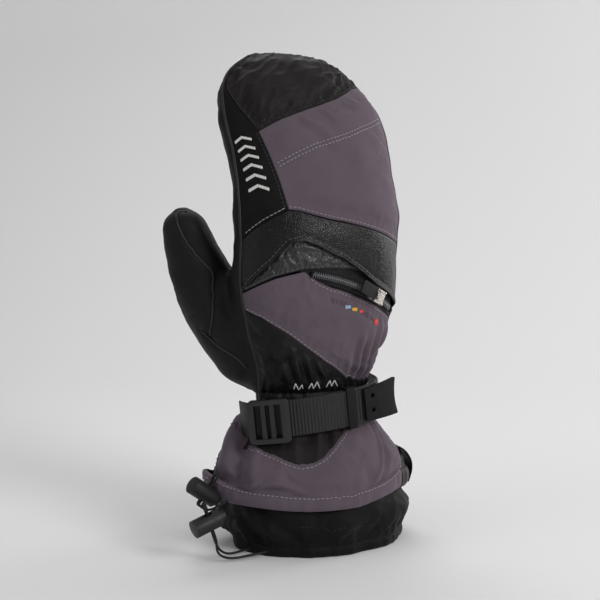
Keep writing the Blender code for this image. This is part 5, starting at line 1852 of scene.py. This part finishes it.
for where in ("hem", "gaiter"):
    refine(f"{where}_drawcord", f"{where}_drawcord_braid", CORD, "gauntlet", subdivisions=2)
loop = pull_on_loop()
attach(loop, "gauntlet")
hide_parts("pull_on_loop")


# ------------------------------------------------------------------ stitching
class Surface:
    """Nearest-point lookup on finished panels, so that stitches sit on the cloth."""

    def __init__(self, *objs):
        verts, faces = [], []
        for obj in objs:
            base = len(verts)
            verts += [tuple(c / MM for c in v.co) for v in obj.data.vertices]
            faces += [tuple(base + i for i in p.vertices) for p in obj.data.polygons]
        self.tree = BVHTree.FromPolygons(verts, faces)

    def snap(self, points, lift):
        """Points laid on the outside of the cloth at a height, and their normals."""
        places, normals = [], []
        for point in np.asarray(points, float).reshape(-1, 3):
            outward = unit(point - np.array([0, 0, point[2]]), 1e-9)
            spot, facing = self.tree.find_nearest(Vector(point), 12)[:2]
            normal = np.array(facing) if spot is not None else outward
            if normal @ outward < 0:
                normal = -normal
            if normal @ outward < .2:
                normal = outward
            hit, facing = self.tree.ray_cast(Vector(point + normal * 7), Vector(-normal), 14)[:2]
            if hit is not None:
                place, facing = np.array(hit), np.array(facing)
                normal = facing if facing @ normal > 0 else -facing
            else:
                place = np.array(spot) if spot is not None else point
            places.append(place + normal * lift)
            normals.append(normal)
        return np.array(places), np.array(normals)


def lay_threads(name, ends, surface, lift, radius, material):
    points, _ = surface.snap(ends, lift)
    obj = capsules(name, points.reshape(-1, 2, 3), radius, material)
    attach(obj, "hand")
    return obj


def stitch_ends(line, surface, length, gap, seed, lift=.12):
    """Running stitch along a line, each stitch laid on the surface."""
    path = resample(line, .5)
    distance = travelled(path)
    rng = np.random.default_rng(seed)
    ends, x = [], gap
    while x + length < distance[-1]:
        end = x + length * rng.uniform(.92, 1.06)
        ends.append([[np.interp(v, distance, path[:, k]) for k in range(3)] for v in (x, end)])
        x = end + gap
    flat = np.array(ends).reshape(-1, 3)
    flat = flat + rng.normal(size=flat.shape) * .06
    return surface.snap(flat, lift)[0].reshape(-1, 2, 3)


def sew(name, rows, radius, material, body="hand"):
    """rows: (line, surface, stitch length, gap, seed, lift if not .12)"""
    ends = np.concatenate([stitch_ends(*row) for row in rows])
    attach(capsules(name, ends, radius, material), body)


def parallel_rows(line, surface, apart):
    """A line laid on the cloth and smoothed, and its neighbour at an even distance below."""
    window, margin = 25, 12

    def moving_mean(start, values, end):
        padded = np.concatenate([start, values, end])
        kernel = np.ones(window) / window
        return np.stack([np.convolve(padded[:, k], kernel, "valid") for k in range(3)], -1)

    points, normals = surface.snap(resample(line, .5), 0)
    before = 2 * points[0] - points[margin]
    after = 2 * points[-1] - points[-margin - 1]
    normals = moving_mean(np.repeat(normals[:1], margin, 0), normals,
                          np.repeat(normals[-1:], margin, 0))
    points = moving_mean(np.linspace(before, points[0], margin + 1)[:-1], points,
                         np.linspace(points[-1], after, margin + 1)[1:])
    side = unit(np.cross(np.gradient(points, axis=0), normals))
    side *= -np.sign(side[:, 2:3])
    return points, points + side * apart


ON_UPPER, ON_CAP, ON_STRIP = Surface(upper), Surface(cap), Surface(strip)
ON_LOWER, ON_WRIST, ON_PALM = Surface(lower), Surface(wrist), Surface(palm)


def sew_hand():
    first, second = parallel_rows(FINGER_ROW_LINE, ON_UPPER, 2.7)
    sew("upper_panel_double_stitch", [(first, ON_UPPER, 1.75, .95, 1, .16),
                                      (second, ON_UPPER, 1.75, .95, 2, .16)], .34, GREY_THREAD)
    sew("upper_panel_edge_stitch", [
        (line_on_hand(KNUCKLE_SEAM, 19, 119.5, 2.0), ON_UPPER, 1.9, 1.1, 3)], .30, GREY_THREAD)
    sew("cap_edge_stitch", [
        (line_on_hand(CAP_SEAM, 19, 131, 2.0), ON_CAP, 1.8, .9, 4, .2),
        (line_on_hand(CAP_SEAM, 19, 133, 4.6), ON_CAP, 1.8, .9, 5, .2)], .36, BLACK_THREAD)
    high, low = np.linspace(7.5, 9.6, 60), np.linspace(5.3, 7.4, 60)
    sew("strip_edge_stitch", [
        (hand(high, STRIP_EDGE(high) - 2.0), ON_CAP, 1.8, .9, 6),
        (hand(low, STRIP_EDGE(low) + 2.2), ON_STRIP, 1.8, .9, 7)], .26, DARK_THREAD)
    # name, seam, angles, distance above the seam, surface, length, gap, seed, radius, thread
    for (name, seam, start, end, distance, surface, length, gap, seed, radius, material) in (
            ("strip_lower_stitch", KNUCKLE_SEAM, 122, 161, 1.8, ON_STRIP, 2.2, .7, 8, .32,
             GREY_THREAD),
            ("knuckle_lip_stitch", FLAP_SEAM, 20, 161, 1.9, Surface(knuckle), 2.3, .9, 9, .34,
             LEATHER_THREAD),
            ("pocket_edge_stitch", WEDGE_SEAM, 78, 160, 1.8, Surface(wedge), 2.4, 1.0, 10, .36,
             LEATHER_THREAD),
            ("lower_panel_top_stitch", POCKET_SEAM, 20, 106, -2.0, ON_LOWER, 1.9, 1.1, 11, .28,
             GREY_THREAD),
            ("lower_panel_bottom_stitch", WRIST_SEAM, 62, 160, 2.0, ON_LOWER, 1.9, 1.1, 12, .28,
             GREY_THREAD)):
        line = line_on_hand(seam, start, end, distance)
        sew(name, [(line, surface, length, gap, seed)], radius, material)
    # the grip patch and the heel of the hand are sewn on with long stitches
    for name, line in (
            ("palm_grip_stitch",
             [(43, 24, 224.6), (18, 25, 219.6), (-6, 24, 216.6), (-34, 20, 218.6)]),
            ("palm_heel_stitch",
             [(-40.6, 20, 189), (-22.4, 27, 174.6), (-10.6, 29, 157.4), (-8.6, 28, 138),
              (-12.6, 27, 118)])):
        path = smooth_line(resample(line, 4), 2)
        sew(name, [(path, ON_PALM, 2.4, 1.1, 31, .1)], .32, GREY_THREAD)


def wrist_zigzag():
    """Three short zigzags in pale thread at the wrist."""
    ends = []
    for start in (82, 96.5, 111):
        corners = [hand(.10 + (.30 if i % 2 else 0), start + 2.1 * i) for i in range(5)]
        points, _ = ON_WRIST.snap(corners, .55)
        ends += [[a, b] for a, b in zip(points[:-1], points[1:])]
    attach(capsules("wrist_shirring_zigzag", ends, .42, WHITE_THREAD), "hand")


def chevrons():
    """A row of satin-stitched chevrons up the index strip."""
    ends = []
    for k in range(6):
        share = (k + .5) / 6
        station, angle = 5.66 + 1.70 * share, 141.3 + 8.2 * share
        for j in range(15):
            aside = j / 14 * 2 - 1
            start = station + (.105 * (1 - abs(aside)) - .055)
            ends.append([hand(start, angle + aside * 8.6), hand(start + .085, angle + aside * 8.6)])
    obj = lay_threads("index_embroidery_chevrons", ends, ON_STRIP, .38, .52, SATIN)
    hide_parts("index_embroidery")


def bar_tacks():
    # station, angle, half length in stations, half width in degrees
    for node, station, angle, half, wide, material in (
            ("bar_tack_blue", 2.80, 84.0, .05, 1.7, BLUE_THREAD),
            ("bar_tack_yellow", 2.72, 79.0, .05, 1.7, YELLOW_THREAD),
            ("bar_tack_red", 2.64, 74.0, .05, 1.7, RED_THREAD),
            ("bar_tack_end", 2.25, 57.0, .09, 2.2, RED_THREAD)):
        ends = [[hand(station - half, angle + aside), hand(station + half, angle + aside)]
                for aside in np.linspace(-wide, wide, 7)]
        obj = lay_threads(node + "_thread", ends, ON_LOWER, .3, .38, material)
        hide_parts(node)


def seed_stitches():
    """Small double stitches in line with the bar tacks."""
    ends = []
    for share in np.concatenate([np.linspace(0, .22, 7), np.linspace(.52, .82, 8)]):
        station, angle = 3.02 - .80 * share, 93.5 - 38 * share
        for shift in (-.05, .04):
            start = station + shift
            ends.append([hand(start, angle), hand(start + .055, angle - .7)])
    lay_threads("lower_panel_seed_stitches", ends, ON_LOWER, .14, .24, DARK_THREAD)


def sew_cuff():
    on_back = Surface(gauntlet_back)
    angle = np.linspace(72.5, 156, 90)
    below = 2.2
    slope = np.gradient(INSET_EDGE(angle), angle) / .95
    stretch = np.sqrt(1 + slope ** 2)
    line = on_gauntlet(INSET_EDGE(angle) - below / stretch,
                       angle + below * slope / stretch / .95)
    sew("inset_edge_stitch", [(line[angle > 74], on_back, 1.9, 1.1, 21)], .30, GREY_THREAD,
        "gauntlet")
    angle = np.linspace(42, 196, 160)
    line = cuff(GAUNTLET, HEM_TOP(angle) - .6, angle, -1.6)
    sew("hem_edge_stitch", [(line, Surface(gauntlet_back, hem_front), 2.0, 1.0, 22, .45)], .32,
        GREY_THREAD, "gauntlet")
    z = np.linspace(47, 92, 50)
    sew("gauntlet_side_stitch", [
        (on_gauntlet(z, SIDE_SEAM(z) + 2.4), on_back, 2.0, 1.0, 23)], .26, GREY_THREAD,
        "gauntlet")
    angle = np.linspace(70, 132, 60)
    height = profile([(70, 18.5), (82, 19.1), (124, 22.5), (132, 23)])
    sew("gaiter_tack_stitch", [
        (on_gaiter(height(angle), angle), Surface(gaiter), 1.6, 1.2, 24, .06)], .18,
        BLACK_THREAD, "gauntlet")


sew_hand()
wrist_zigzag()
chevrons()
bar_tacks()
seed_stitches()
sew_cuff()

# ------------------------------------------------------------------ bodies
for obj in (cap, upper, strip, knuckle, wedge):
    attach(obj, "hand")
# these pieces stay unparented, their placement baked into the mesh
for obj in (lower, wrist, palm, thumb_piping, little_piping):
    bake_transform(obj)
for obj in (thumb, *welts):
    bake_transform(obj)
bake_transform(sleeve)
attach(lining, "hand")
for obj in (gauntlet_back, inset, palm_gauntlet, hem_front, hem_back, gaiter, gaiter_band,
            cuff_lining):
    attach(obj, "gauntlet")
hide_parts("fingertip_cap")
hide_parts("finger_back_panel", "membrane_insert", "insulation_back")
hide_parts("index_side_panel")
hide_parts("knuckle_band")
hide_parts("pocket_edge_panel")
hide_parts("hand_back_panel", "pocket_bag")
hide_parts("wrist_back_panel")
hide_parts("palm_panel", "insulation_palm")
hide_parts("thumb_back_panel", "thumb_palm_panel", "thumb_insulation", "thumb_lining")
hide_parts("thumb_side_piping")
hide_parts("little_finger_piping")
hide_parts("zipper_tape")
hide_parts("zipper_coil")
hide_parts("wrist_elastic")
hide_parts("hand_lining")
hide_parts("gauntlet_lining")
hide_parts("gauntlet_back_shell")
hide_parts("gauntlet_inset_panel")
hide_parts("gauntlet_palm_panel")
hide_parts("gauntlet_hem")
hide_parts("snow_gaiter")
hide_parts("gaiter_hem")

made = [obj for obj in bpy.context.scene.objects
        if obj.type == "MESH" and "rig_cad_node" not in obj]

# everything so far stands about the cuff's centre: bring it to the origin shared with the CAD
for mesh in {obj.data for obj in made}:
    mesh.transform(Matrix.Translation(FORM_CENTRE))

# ------------------------------------------------------------------ floor, light, camera
# this section is in metres
VIEW_TURN = math.radians(-25)       # the camera's turn about Z from straight at the back
VIEW_RISE = math.radians(7)
VIEW_RIGHT = np.array([math.cos(VIEW_TURN), math.sin(VIEW_TURN), 0])
VIEW_AHEAD = np.array([-math.sin(VIEW_TURN), math.cos(VIEW_TURN), 0])


def studio_floor():
    """Paper sweep: flat, then curving up beyond the mitten."""
    start, radius = .55, .5
    outline = [(-1.6, 0.0), (start, 0.0)]
    outline += [(start + radius * math.sin(turn), radius - radius * math.cos(turn))
                for turn in np.linspace(.1, math.pi / 2, 12)]
    outline += [(start + radius, 2.4)]
    verts = [tuple(VIEW_RIGHT * side + VIEW_AHEAD * ahead + np.array([0, 0, height]))
             for ahead, height in outline for side in (-2.2, 2.2)]
    faces = [(i, i + 1, i + 3, i + 2) for i in range(0, len(verts) - 2, 2)]
    mesh = bpy.data.meshes.new("studio_floor")
    mesh.from_pydata(verts, [], faces)
    mesh.shade_smooth()
    floor = add_object("studio_floor", mesh)
    paper = bpy.data.materials.new("studio_paper")
    paper.use_nodes = True
    inputs = paper.node_tree.nodes["Principled BSDF"].inputs
    inputs["Base Color"].default_value = (.80, .795, .80, 1)
    inputs["Roughness"].default_value = .9
    inputs["Specular IOR Level"].default_value = .1
    mesh.materials.append(paper)


def studio_world():
    world = bpy.data.worlds.new("studio")
    bpy.context.scene.world = world
    world.use_nodes = True
    background = world.node_tree.nodes["Background"]
    background.inputs[0].default_value = (.98, .98, 1, 1)
    background.inputs[1].default_value = .28


def light(name, turn, rise_angle, distance, target_z, size, power, colour=(1, 1, 1)):
    """Disk light placed by its turn from -Y and its rise, about a point at z = .16."""
    turn, lift = math.radians(turn), math.radians(rise_angle)
    place = Vector((distance * math.sin(turn) * math.cos(lift),
                    -distance * math.cos(turn) * math.cos(lift),
                    .16 + distance * math.sin(lift)))
    data = bpy.data.lights.new(name, "AREA")
    data.shape = "DISK"
    data.size = size
    data.energy = power
    data.color = colour
    obj = bpy.data.objects.new(name, data)
    obj.location = place + FORM_CENTRE
    obj.rotation_euler = (Vector((0, 0, target_z)) - place).to_track_quat("-Z", "Y").to_euler()
    bpy.context.scene.collection.objects.link(obj)


def studio_camera():
    towards = np.array([math.sin(VIEW_TURN) * math.cos(VIEW_RISE),
                        -math.cos(VIEW_TURN) * math.cos(VIEW_RISE), math.sin(VIEW_RISE)])
    target = VIEW_RIGHT * -.006 + np.array([0, 0, .1665])
    data = bpy.data.cameras.new("camera")
    data.lens = 85
    data.sensor_width = 36
    camera = add_object("camera", data)
    camera.location = Vector(target + towards * .9676) + FORM_CENTRE
    camera.rotation_euler = Vector(towards).to_track_quat("Z", "Y").to_euler()
    bpy.context.scene.camera = camera


studio_floor()
studio_world()
light("key", 22, 24, 1.7, target_z=.17, size=.75, power=15.5, colour=(1, .99, .98))
light("top", 0, 84, 1.9, target_z=.1, size=1.3, power=4.2)
light("fill", -85, 22, 1.6, target_z=.16, size=1.0, power=2.9, colour=(.97, .98, 1))
light("rim", 95, 15, 1.5, target_z=.18, size=.6, power=5.0)
light("back", 168, 52, .85, target_z=.17, size=.5, power=1.7)
studio_camera()
bpy.context.scene.view_settings.view_transform = "Standard"
bpy.context.scene.frame_set(1)
